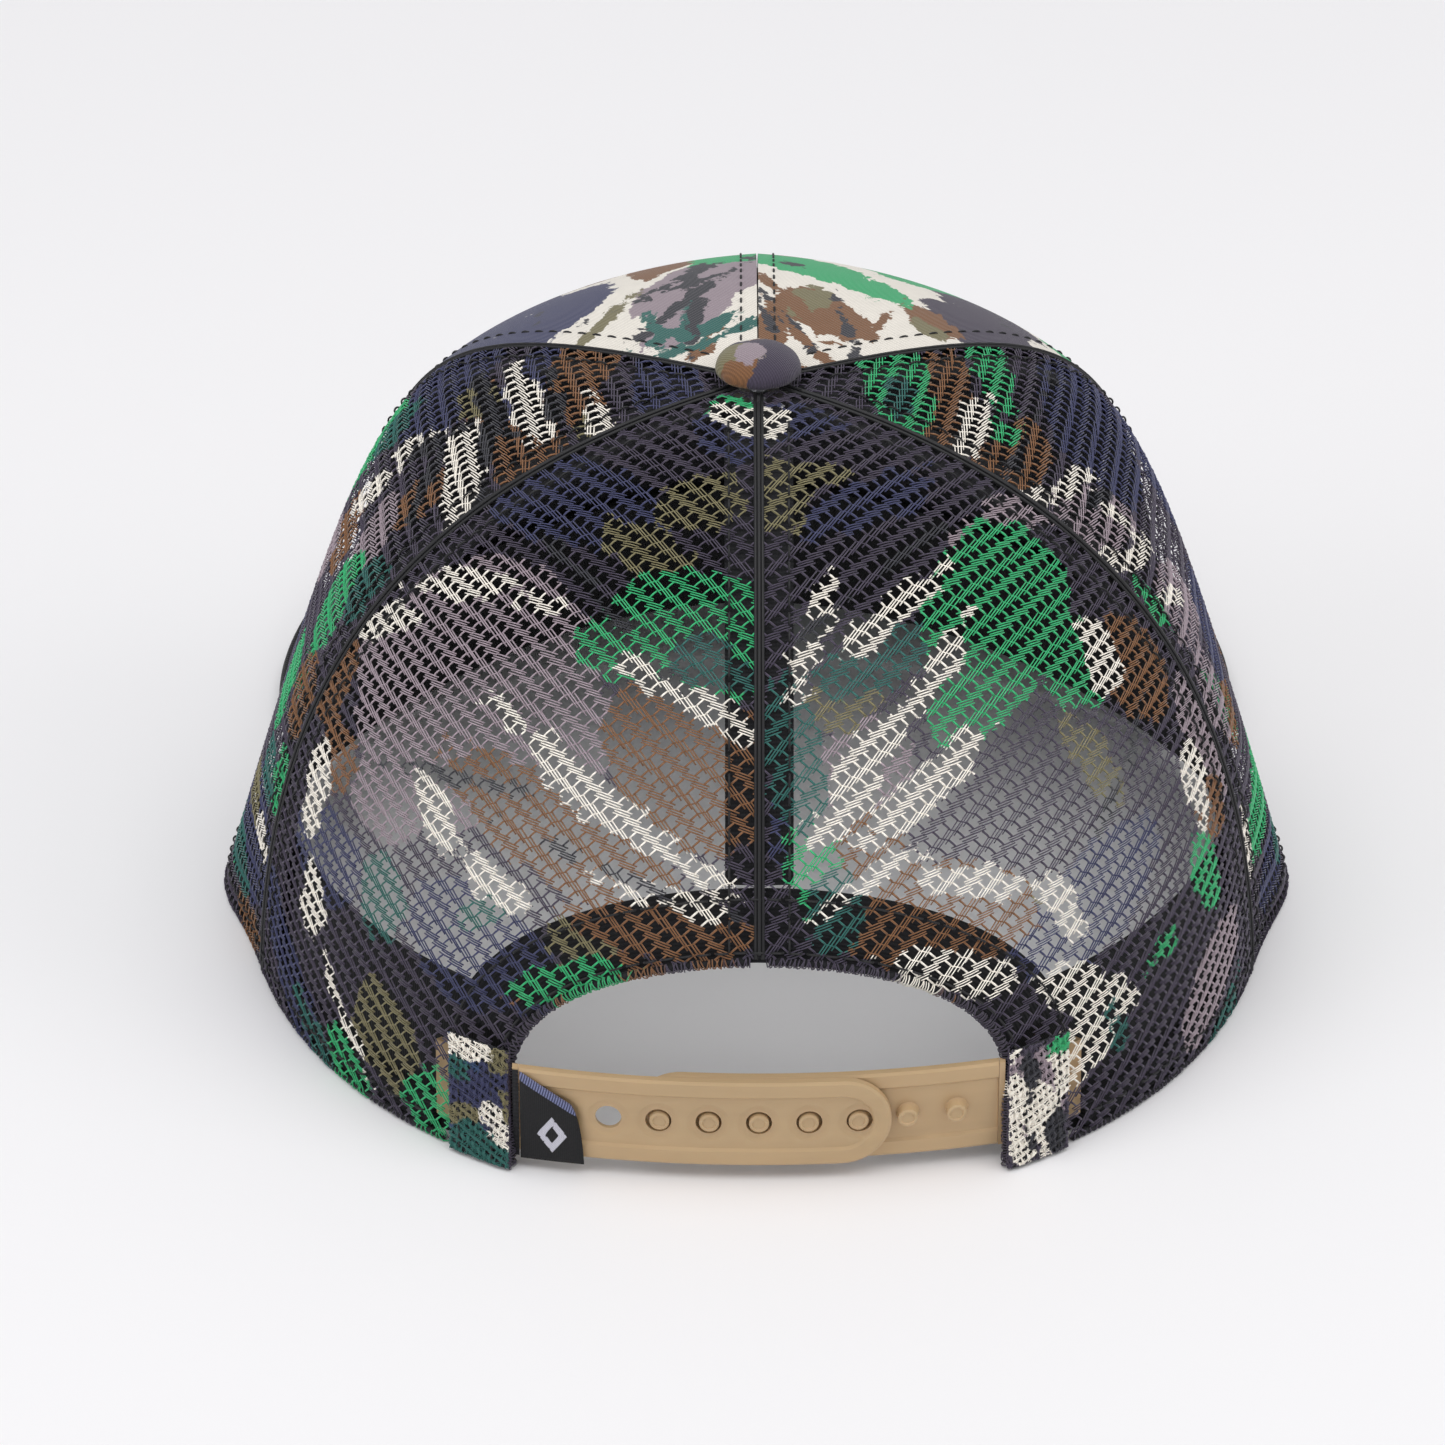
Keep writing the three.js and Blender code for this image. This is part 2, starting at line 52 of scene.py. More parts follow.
# ---------------------------------------------------------------- sizes, in millimetres
CROWN_HEIGHT = 112.5
CROWN_HOLE = 5.0
CLOTH = 0.8
LAYER_GAP = 0.5
RIB_STATIONS = np.array([0, 1, 1.5, 2, 3])
RIBS = {
    "rim": [-90, -35, -8, 13, 90],
    "top": [-90, -24, 6, 31, 90],
    "radius": [93, 100.5, 101.5, 94, 98],
    "foot": [17, 4.4, 0, 0, 0],
    "lean": [11, 11, 16, 2, 12],
    "rise": [96, 90, 80, 71, 67],
    "reach": [62, 78, 70, 62, 49],
    "lift": [10, 1, 0, 0, 0],
}
LEVEL_AT_SEAMS = ("radius", "foot", "lean", "rise", "reach")
SEAM_SWEEP = 1.5
FRONT_SIDE, BACK_SIDE, BACK = 1, 2, 3
ARCH_WIDTH, ARCH_RISE, ARCH_BASE = 44, 25, 17

UNDER_CLOTH = CLOTH + LAYER_GAP
UNDER_BUCKRAM = UNDER_CLOTH + CLOTH + LAYER_GAP
UNDER_FOLD = UNDER_CLOTH + CLOTH
TAPE_THICKNESS, TAPE_HALF_WIDTH = 0.6, 6
UNDER_TAPE = UNDER_BUCKRAM + TAPE_THICKNESS + LAYER_GAP
BAND_HEIGHT, BAND_THICKNESS, BAND_END = 30, 1.2, 46.5
HEM_HEIGHT, HEM_END = 7, 59

STRAP_THICKNESS, STRAP_BOTTOM, STRAP_HEIGHT, FLEX_X, SAG = 1.6, 3, 17.2, 42.2, 5
STRAP_TOP = STRAP_BOTTOM + STRAP_HEIGHT
STRAP_MIDDLE = STRAP_BOTTOM + STRAP_HEIGHT / 2
STRAP_RADIUS = (FLEX_X**2 + SAG**2) / (2 * SAG) + STRAP_THICKNESS
SNAP_PITCH = 8.85
STRAP_GAP = 0.3

VISOR_HALF_WIDTH, VISOR_REACH, VISOR_CENTER_Y, VISOR_WRAP, VISOR_DROP = 93, 84, -80, 104, 16.2

button_low, button_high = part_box("top_button")
AXIS = np.array([(button_low.x + button_high.x) / 2, (button_low.y + button_high.y) / 2, 0.0])
STRAP_CENTER_Y = (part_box("hole_strap")[1].y - AXIS[1]) * 1000 - STRAP_RADIUS
SIDES = ((1, "left"), (-1, "right"))


# ---------------------------------------------------------------- the crown's surface
def rib(key, station):
    """A rib value at any station from 0 to 3, as a smooth cubic through the ribs."""
    x, values = RIB_STATIONS, np.array(RIBS[key], float)
    slopes = np.empty(len(x))
    for k in range(len(x)):
        before, after = max(k - 1, 0), min(k + 1, len(x) - 1)
        level = k in (0, len(x) - 1) and key in LEVEL_AT_SEAMS
        slopes[k] = 0 if level else (values[after] - values[before]) / (x[after] - x[before])
    i = np.clip(np.searchsorted(x, station - 1e-9), 1, len(x) - 1)
    span = x[i] - x[i - 1]
    t = (station - x[i - 1]) / span
    value = (
        (2 * t**3 - 3 * t**2 + 1) * values[i - 1]
        + (t**3 - 2 * t**2 + t) * span * slopes[i - 1]
        + (3 * t**2 - 2 * t**3) * values[i]
        + (t**3 - t**2) * span * slopes[i]
    )
    return np.maximum(value, 0) if key == "foot" else value


def crown(a, s):
    """Points of the crown's outer face at signed station a, from 0 at the front to 3 at the back, and at s,
    from 0 at the rim to 1 under the button."""
    a, s = np.broadcast_arrays(np.asarray(a, float), np.asarray(s, float))
    a = np.where(a > BACK, a - 2 * BACK, np.where(a < -BACK, a + 2 * BACK, a))
    station = np.abs(a)
    azimuth = np.radians(rib("rim", station) + (rib("top", station) - rib("rim", station)) * s**SEAM_SWEEP)
    lean, rise, foot, radius = (
        np.radians(rib("lean", station)), rib("rise", station), rib("foot", station), rib("radius", station))
    w0, w1, w2, w3 = (1 - s) ** 3, 3 * (1 - s) ** 2 * s, 3 * (1 - s) * s**2, s**3
    r = w0 * radius + w1 * (radius - rise * np.sin(lean)) + w2 * rib("reach", station)
    z = (w0 * foot + w1 * (foot + rise * np.cos(lean)) + w2 * (CROWN_HEIGHT + rib("lift", station))
         + w3 * CROWN_HEIGHT)
    return np.stack([np.where(a < 0, -1, 1) * r * np.cos(azimuth), r * np.sin(azimuth), z], -1)


def unit(v):
    return v / np.maximum(np.linalg.norm(v, axis=-1, keepdims=True), 1e-9)


def crown_normal(a, s):
    a, s = np.broadcast_arrays(np.asarray(a, float), np.asarray(s, float))
    along = crown(a + 1e-3, s) - crown(a - 1e-3, s)
    up = crown(a, np.minimum(s + 1e-3, 0.999)) - crown(a, np.maximum(s - 1e-3, 0))
    normal = unit(np.cross(along, up))
    normal[..., 2] = np.where(s <= 0, 0, normal[..., 2])
    return unit(normal)


def under(a, s, depth):
    """Points at a depth below the crown's outer face, kept above the table."""
    points = crown(a, s) - np.asarray(depth)[..., None] * crown_normal(a, s)
    points[..., 2] = np.maximum(points[..., 2], 0.05)
    return points


def station_width(a, s):
    return np.linalg.norm(crown(a + 0.01, s) - crown(a - 0.01, s), axis=-1) / 0.02


def beside(a, s, shift):
    """The station at a shift, in millimetres, from the line of constant station a."""
    return a + shift / np.maximum(station_width(a, s), 1e-6)


def solve(f, low, high, shape):
    """Where the rising function f reaches 0, for an array of the given shape."""
    low, high = np.full(shape, float(low)), np.full(shape, float(high))
    for _ in range(36):
        middle = (low + high) / 2
        below = f(middle) < 0
        low, high = np.where(below, middle, low), np.where(below, high, middle)
    return (low + high) / 2


def s_at_height(a, height):
    a = np.asarray(a, float)
    return solve(lambda s: crown(a, s)[..., 2] - crown(a, 0)[..., 2] - height, 0, 0.7, a.shape)


def s_at_radius(a, radius):
    a = np.asarray(a, float)
    return solve(lambda s: radius - np.hypot(crown(a, s)[..., 0], crown(a, s)[..., 1]), 0.5, 1, a.shape)


def rear_place(x, z):
    """Station and s of the rear face at each x and z."""
    x, z = np.broadcast_arrays(np.asarray(x, float), np.asarray(z, float))

    def station_at(s):
        return solve(lambda a: np.abs(x) - crown(a, s)[..., 0], BACK_SIDE - 0.4, BACK, x.shape)

    s = solve(lambda t: crown(station_at(t), t)[..., 2] - z, 0, 0.7, x.shape)
    return np.where(x < 0, -1, 1) * station_at(s), np.where(z <= 0, 0, s)


# ---------------------------------------------------------------- meshes
def new_piece(name, points, faces, material, body="crown", slot=None, replaces=(), fields=None, crease=50):
    """A mesh piece from points in millimetres. fields are named values at its points."""
    mesh = bpy.data.meshes.new(name)
    placed = np.asarray(points, float).reshape(-1, 3) / 1000 + AXIS
    mesh.from_pydata(placed.tolist(), [], [list(f) for f in faces] if not isinstance(faces, list) else faces)
    for key, values in (fields or {}).items():
        values = np.asarray(values, np.float32)
        vector = values.ndim > 1
        attribute = mesh.attributes.new(key, "FLOAT_VECTOR" if vector else "FLOAT", "POINT")
        attribute.data.foreach_set("vector" if vector else "value", values.ravel())
    mesh.shade_smooth()
    if crease < 180:
        mesh.set_sharp_from_angle(angle=math.radians(crease))
    mesh.materials.append(material)
    mesh.validate()
    piece = bpy.data.objects.new(name, mesh)
    bpy.context.scene.collection.objects.link(piece)
    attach(piece, body)
    if replaces:
        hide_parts(*replaces)
    return piece


def grid_faces(columns, rows, start=0, flip=False):
    """Quads of a grid of columns x rows cells whose points run row by row within a column."""
    i, j = np.meshgrid(np.arange(columns), np.arange(rows), indexing="ij")
    first = (i * (rows + 1) + j).ravel() + start
    quads = np.stack([first, first + rows + 1, first + rows + 2, first + 1], 1)
    return quads[:, ::-1] if flip else quads


def slab(outer, inner):
    """One closed body between two grids of points, and its faces, which point out of it."""
    columns, rows = outer.shape[0] - 1, outer.shape[1] - 1
    layer = (columns + 1) * (rows + 1)
    at = lambda i, j: i * (rows + 1) + j
    i, j = np.arange(columns), np.arange(rows)
    walls = [
        np.stack([at(i + 1, 0), at(i, 0), layer + at(i, 0), layer + at(i + 1, 0)], 1),
        np.stack([at(i, rows), at(i + 1, rows), layer + at(i + 1, rows), layer + at(i, rows)], 1),
        np.stack([at(0, j), at(0, j + 1), layer + at(0, j + 1), layer + at(0, j)], 1),
        np.stack([at(columns, j + 1), at(columns, j), layer + at(columns, j), layer + at(columns, j + 1)], 1),
    ]
    faces = np.concatenate([grid_faces(columns, rows), grid_faces(columns, rows, layer, True), *walls])
    points = np.concatenate([outer.reshape(-1, 3), inner.reshape(-1, 3)])
    a, b, c, d = (points[faces[:, k]] for k in range(4))
    volume = (a * np.cross(b, c)).sum() + (a * np.cross(c, d)).sum()
    return points, faces[:, ::-1] if volume < 0 else faces


def measured(grid):
    """A grid's size along its columns and rows and its area, in metres."""
    wide = np.linalg.norm(np.diff(grid, axis=0), axis=-1).sum(0).max()
    tall = np.linalg.norm(np.diff(grid, axis=1), axis=-1).sum(1).max()
    one = np.cross(grid[1:, :-1] - grid[:-1, :-1], grid[:-1, 1:] - grid[:-1, :-1])
    two = np.cross(grid[:-1, 1:] - grid[1:, 1:], grid[1:, :-1] - grid[1:, 1:])
    area = (np.linalg.norm(one, axis=-1) + np.linalg.norm(two, axis=-1)).sum() / 2
    return (float(wide) / 1000, float(tall) / 1000), float(area) / 1e6


def tubes(paths, normals, radius, sides=3):
    """Closed tubes along many paths at once. paths and normals are (count, points, 3), and radius is one
    number or one for each path."""
    count, length = paths.shape[:2]
    tangent = unit(np.gradient(paths, axis=1))
    across = unit(np.cross(tangent, normals))
    up = np.cross(across, tangent)
    radius = np.broadcast_to(np.asarray(radius, float).reshape(-1, 1, 1), (count, length, 1))
    angles = 2 * np.pi * (np.arange(sides) + 0.25) / sides
    rings = np.stack([paths + radius * (np.cos(t) * across + np.sin(t) * up) for t in angles], 2)
    points = rings.reshape(-1, 3)
    c, i, k = np.meshgrid(np.arange(count), np.arange(length - 1), np.arange(sides), indexing="ij")
    first = (c * length + i) * sides
    after = (k + 1) % sides
    faces = np.stack([first + k, first + after, first + sides + after, first + sides + k], -1)
    start = (np.arange(count) * length * sides)[:, None]
    ring = np.arange(sides)
    caps = np.concatenate([start + ring[::-1], start + (length - 1) * sides + ring])
    return points, faces.reshape(-1, 4), caps


def joined(parts):
    """Points and a list of faces from several (points, *face arrays), with the indices moved on."""
    points, faces, start = [], [], 0
    for part in parts:
        points.append(part[0])
        for block in part[1:]:
            faces.extend((np.asarray(block) + start).tolist())
        start += len(part[0])
    return np.concatenate(points), faces


# ---------------------------------------------------------------- materials
def linear(hex_color):
    """A hex colour as linear red, green, blue and alpha."""
    parts = [int(hex_color[i : i + 2], 16) / 255 for i in (0, 2, 4)]
    return tuple(((c + 0.055) / 1.055) ** 2.4 if c > 0.04045 else c / 12.92 for c in parts) + (1,)


class Shader:
    """A small helper that adds nodes to a material and links them."""

    def __init__(self, name, roughness=0.8, **sockets):
        self.material = bpy.data.materials.new(name)
        self.material.use_nodes = True
        self.tree = self.material.node_tree
        self.surface = next(n for n in self.tree.nodes if n.type == "BSDF_PRINCIPLED")
        self.set("Roughness", roughness)
        for socket, value in sockets.items():
            self.set(socket.replace("_", " "), value)

    def set(self, socket, value):
        if isinstance(value, bpy.types.NodeSocket):
            self.tree.links.new(value, self.surface.inputs[socket])
        else:
            self.surface.inputs[socket].default_value = value

    def node(self, kind, inputs=None, **settings):
        node = self.tree.nodes.new("ShaderNode" + kind)
        for key, value in settings.items():
            setattr(node, key, value)
        for key, value in (inputs or {}).items():
            if isinstance(value, bpy.types.NodeSocket):
                self.tree.links.new(value, node.inputs[key])
            else:
                node.inputs[key].default_value = value
        return node

    def math(self, operation, a, b=0.0, c=0.0):
        return self.node("Math", {0: a, 1: b, 2: c}, operation=operation).outputs[0]

    def value(self, name):
        return self.node("Attribute", attribute_name=name).outputs["Fac"]

    def vector(self, name="cloth"):
        return self.node("Attribute", attribute_name=name).outputs["Vector"]

    def noise(self, vector, scale, detail=2.0, distortion=0.0, roughness=0.5):
        inputs = {"Vector": vector, "Scale": scale, "Detail": detail, "Distortion": distortion,
                  "Roughness": roughness}
        return self.node("TexNoise", inputs).outputs["Fac"]

    def ramp(self, value, low, high, to_low=0.0, to_high=1.0):
        inputs = {"Value": value, "From Min": low, "From Max": high, "To Min": to_low, "To Max": to_high}
        return self.node("MapRange", inputs, interpolation_type="SMOOTHSTEP").outputs[0]

    def mix(self, share, a, b, blend="MIX"):
        node = self.node("Mix", {0: share}, data_type="RGBA", blend_type=blend)
        for index, value in ((6, a), (7, b)):
            if isinstance(value, bpy.types.NodeSocket):
                self.tree.links.new(value, node.inputs[index])
            else:
                node.inputs[index].default_value = value
        return node.outputs[2]

    def bump(self, height, distance, strength=1.0, normal=None):
        inputs = {"Height": height, "Distance": distance, "Strength": strength}
        if normal is not None:
            inputs["Normal"] = normal
        return self.node("Bump", inputs).outputs["Normal"]

    def sine(self, value, pitch, turn=0.0):
        """A wave from 0 to 1 along a length in millimetres."""
        angle = self.math("MULTIPLY_ADD", value, 2 * math.pi / pitch, turn)
        return self.math("MULTIPLY_ADD", self.math("SINE", angle), 0.5, 0.5)

    def shade(self, color, low, high, amount):
        """A colour made lighter or darker by a value from 0 to 1."""
        factor = self.math("MULTIPLY_ADD", amount, high - low, low)
        grey = self.node("CombineColor", {0: factor, 1: factor, 2: factor}).outputs[0]
        return self.mix(1.0, color, grey, "MULTIPLY")


INK = {
    "plum": linear("3d3547"),
    "navy": linear("33365a"),
    "blue": linear("2b4468"),
    "green": linear("27a568"),
    "teal": linear("1f5f58"),
    "brown": linear("7a5230"),
    "olive": linear("77704f"),
    "mauve": linear("978890"),
    "cream": linear("ebe5da"),
    "coal": linear("2b2b33"),
}


def twill_height(shader, u, v, pitch=0.62):
    """Diagonal twill ribs, each one broken into short floats."""
    ribs = shader.sine(shader.math("ADD", u, v), pitch)
    floats = shader.sine(shader.math("SUBTRACT", u, v), pitch * 0.9)
    return shader.math("MULTIPLY_ADD", floats, 0.35, ribs)


def uv_of(shader):
    parts = shader.node("SeparateXYZ", {0: shader.vector()}).outputs
    return parts[0], parts[1]


def print_color(shader, base, layers):
    """The printed colours: a layer shows where its field, in millimetres, is above 0, with ragged edges."""
    cloth = shader.vector()
    coarse = shader.math("SUBTRACT", shader.noise(cloth, 0.13, 4.0, 0.8), 0.5)
    fine = shader.math("SUBTRACT", shader.noise(cloth, 0.55, 2.0, 1.5), 0.5)
    ragged = shader.math("MULTIPLY_ADD", coarse, 15.0, shader.math("MULTIPLY", fine, 4.0))
    color = INK[base]
    for index, ink in enumerate(layers):
        sign = 1 if index % 2 else -1
        field = shader.math("MULTIPLY_ADD", ragged, 0.55 * sign, shader.value(f"layer_{index}"))
        color = shader.mix(shader.ramp(field, -0.16, 0.16), color, INK[ink])
    return color


def camo_material(name, base, layers, knit):
    """The print on twill or, if knit, on the mesh's threads."""
    shader = Shader(name, roughness=0.5 if knit else 0.82)
    color = print_color(shader, base, layers)
    u, v = uv_of(shader)
    cloth = shader.vector()
    if knit:
        color = shader.shade(color, 0.8, 1.7, shader.noise(cloth, 1.7, 2.0))
        shader.set("Normal", shader.bump(shader.noise(cloth, 9.0, 2.0), 0.00004, 0.5))
        shader.set("Sheen Weight", 0.15)
    else:
        height = twill_height(shader, u, v)
        # painted shade: the print is darkened in the valleys between the twill's ribs, with a little painted
        # highlight on the ribs
        color = shader.shade(color, 0.8, 1.08, height)
        color = shader.shade(color, 0.93, 1.07, shader.noise(cloth, 0.4, 3.0))
        shader.set("Normal", shader.bump(height, 0.00012, 0.8))
        shader.set("Sheen Weight", 0.25)
    shader.set("Base Color", color)
    shader.surface.inputs["Base Color"].default_value = INK[base]
    return shader.material


def woven_material(name, hex_color, pitch=0.7, roughness=0.85, depth=0.00012, light=1.25, ribbed=False):
    """A plain woven cloth: threads over and under each other, or ribs across the tape."""
    shader = Shader(name, roughness=roughness, Sheen_Weight=0.05, Sheen_Roughness=0.5)
    u, v = uv_of(shader)
    if ribbed:
        height = shader.math("MULTIPLY_ADD", shader.sine(u, pitch * 0.6), 0.3, shader.sine(v, pitch))
    else:
        over = shader.math("MULTIPLY", shader.sine(u, pitch), shader.sine(v, pitch))
        crossing = shader.math("MULTIPLY", shader.sine(u, pitch, math.pi), shader.sine(v, pitch, math.pi))
        height = shader.math("ADD", over, crossing)
    base = linear(hex_color)
    # painted shade where the weave is low and painted highlight, up to light, on the raised threads
    color = shader.shade(base, 0.62, light, height)
    color = shader.shade(color, 0.85, 1.15, shader.noise(shader.vector(), 0.5, 4.0))
    shader.set("Base Color", color)
    shader.surface.inputs["Base Color"].default_value = base
    shader.set("Normal", shader.bump(height, depth))
    return shader.material


def thread_material(name, hex_color, twist=0.9):
    shader = Shader(name, roughness=0.55, Sheen_Weight=0.05)
    along = shader.vector()
    parts = shader.node("SeparateXYZ", {0: along}).outputs
    ply = shader.sine(shader.math("ADD", parts[0], parts[1]), twist)
    base = linear(hex_color)
    # painted shade in the grooves between the plies and painted highlight on their crests
    shader.set("Base Color", shader.shade(base, 0.6, 1.35, ply))
    shader.surface.inputs["Base Color"].default_value = base
    shader.set("Normal", shader.bump(ply, 0.00006))
    return shader.material


def plastic_material():
    shader = Shader("strap_plastic", roughness=0.42, Subsurface_Weight=0.06, Specular_IOR_Level=0.45)
    place = shader.node("TexCoord").outputs["Object"]
    base = linear("c3a47d")
    flow = shader.node("Mapping", {"Vector": place, "Scale": (30, 30, 260)}).outputs[0]
    color = shader.shade(base, 0.9, 1.06, shader.noise(flow, 1.0, 4.0, 0.6))
    color = shader.shade(color, 0.94, 1.04, shader.noise(place, 90.0, 3.0))
    shader.set("Base Color", color)
    shader.surface.inputs["Base Color"].default_value = base
    shader.set("Roughness", shader.ramp(shader.noise(place, 260.0, 4.0), 0.3, 0.7, 0.36, 0.5))
    grain = shader.noise(place, 2600.0, 2.0)
    shader.set("Normal", shader.bump(grain, 0.00002, 0.5))
    return shader.material


def steel_material():
    shader = Shader("plated_steel", roughness=0.3, Metallic=1.0)
    place = shader.node("TexCoord").outputs["Object"]
    grain = shader.noise(place, 900.0, 3.0)
    shader.set("Base Color", shader.shade(linear("c9c9cc"), 0.85, 1.05, grain))
    shader.set("Normal", shader.bump(grain, 0.00001, 0.5))
    return shader.material


def floor_material():
    shader = Shader("table", roughness=0.65)
    place = shader.node("TexCoord").outputs["Object"]
    shader.set("Base Color", shader.shade(linear("f3f2f3"), 0.985, 1.0, shader.noise(place, 3.0, 3.0)))
    shader.set("Normal", shader.bump(shader.noise(place, 900.0, 2.0), 0.00002, 0.3))
    return shader.material


BLACK_TAPE = woven_material("black_tape", "17171b", pitch=0.8, ribbed=True)
BLACK_BUCKRAM = woven_material("black_buckram", "1b1b20", pitch=1.4, depth=0.00025, light=1.6)
BLACK_BAND = woven_material("black_sweatband", "151518", pitch=0.55)
BLACK_THREAD = thread_material("black_thread", "141417")
STRAP_PLASTIC = plastic_material()
STEEL = steel_material()

# ---------------------------------------------------------------- camera, light and table
ELEVATION, DISTANCE, AIM = math.radians(30.3), 1.277, Vector((0.0064, AXIS[1], 0.041))
camera = bpy.data.objects.new("camera", bpy.data.cameras.new("camera"))
bpy.context.scene.collection.objects.link(camera)
camera.location = AIM + DISTANCE * Vector((0, math.cos(ELEVATION), math.sin(ELEVATION)))
camera.rotation_euler = (AIM - camera.location).to_track_quat("-Z", "Y").to_euler()
camera.data.lens = 172.6
camera.data.sensor_width = 36
camera.data.clip_start = 0.05
bpy.context.scene.camera = camera


def area_light(name, place, aim, size, power, color=(1, 1, 1)):
    light = bpy.data.objects.new(name, bpy.data.lights.new(name, "AREA"))
    light.data.shape = "RECTANGLE"
    light.data.size, light.data.size_y = size
    light.data.energy = power
    light.data.color = color
    light.location = place
    light.rotation_euler = (Vector(aim) - Vector(place)).to_track_quat("-Z", "Y").to_euler()
    bpy.context.scene.collection.objects.link(light)


area_light("softbox_top", (0.0, 0.25, 1.9), (0, 0.02, 0), (2.2, 1.8), 21)
area_light("softbox_left", (1.5, 0.9, 1.0), (0, 0, 0.05), (1.0, 1.0), 7, (0.97, 0.98, 1.0))
area_light("softbox_right", (-1.5, 0.6, 1.2), (0, 0, 0.05), (1.0, 1.0), 6, (1.0, 0.99, 0.97))
world = bpy.data.worlds.new("studio")
world.use_nodes = True
world.node_tree.nodes["Background"].inputs["Color"].default_value = (0.96, 0.96, 0.985, 1)
world.node_tree.nodes["Background"].inputs["Strength"].default_value = 0.5
bpy.context.scene.world = world
bpy.context.scene.view_settings.view_transform = "Standard"

FLOOR = 4.0  # half the table's side, in metres
table_mesh = bpy.data.meshes.new("table")
corners = [(-FLOOR, -FLOOR, 0), (FLOOR, -FLOOR, 0), (FLOOR, FLOOR, 0), (-FLOOR, FLOOR, 0)]
table_mesh.from_pydata(corners, [], [(0, 1, 2, 3)])
table_mesh.materials.append(floor_material())
table = bpy.data.objects.new("table", table_mesh)
bpy.context.scene.collection.objects.link(table)

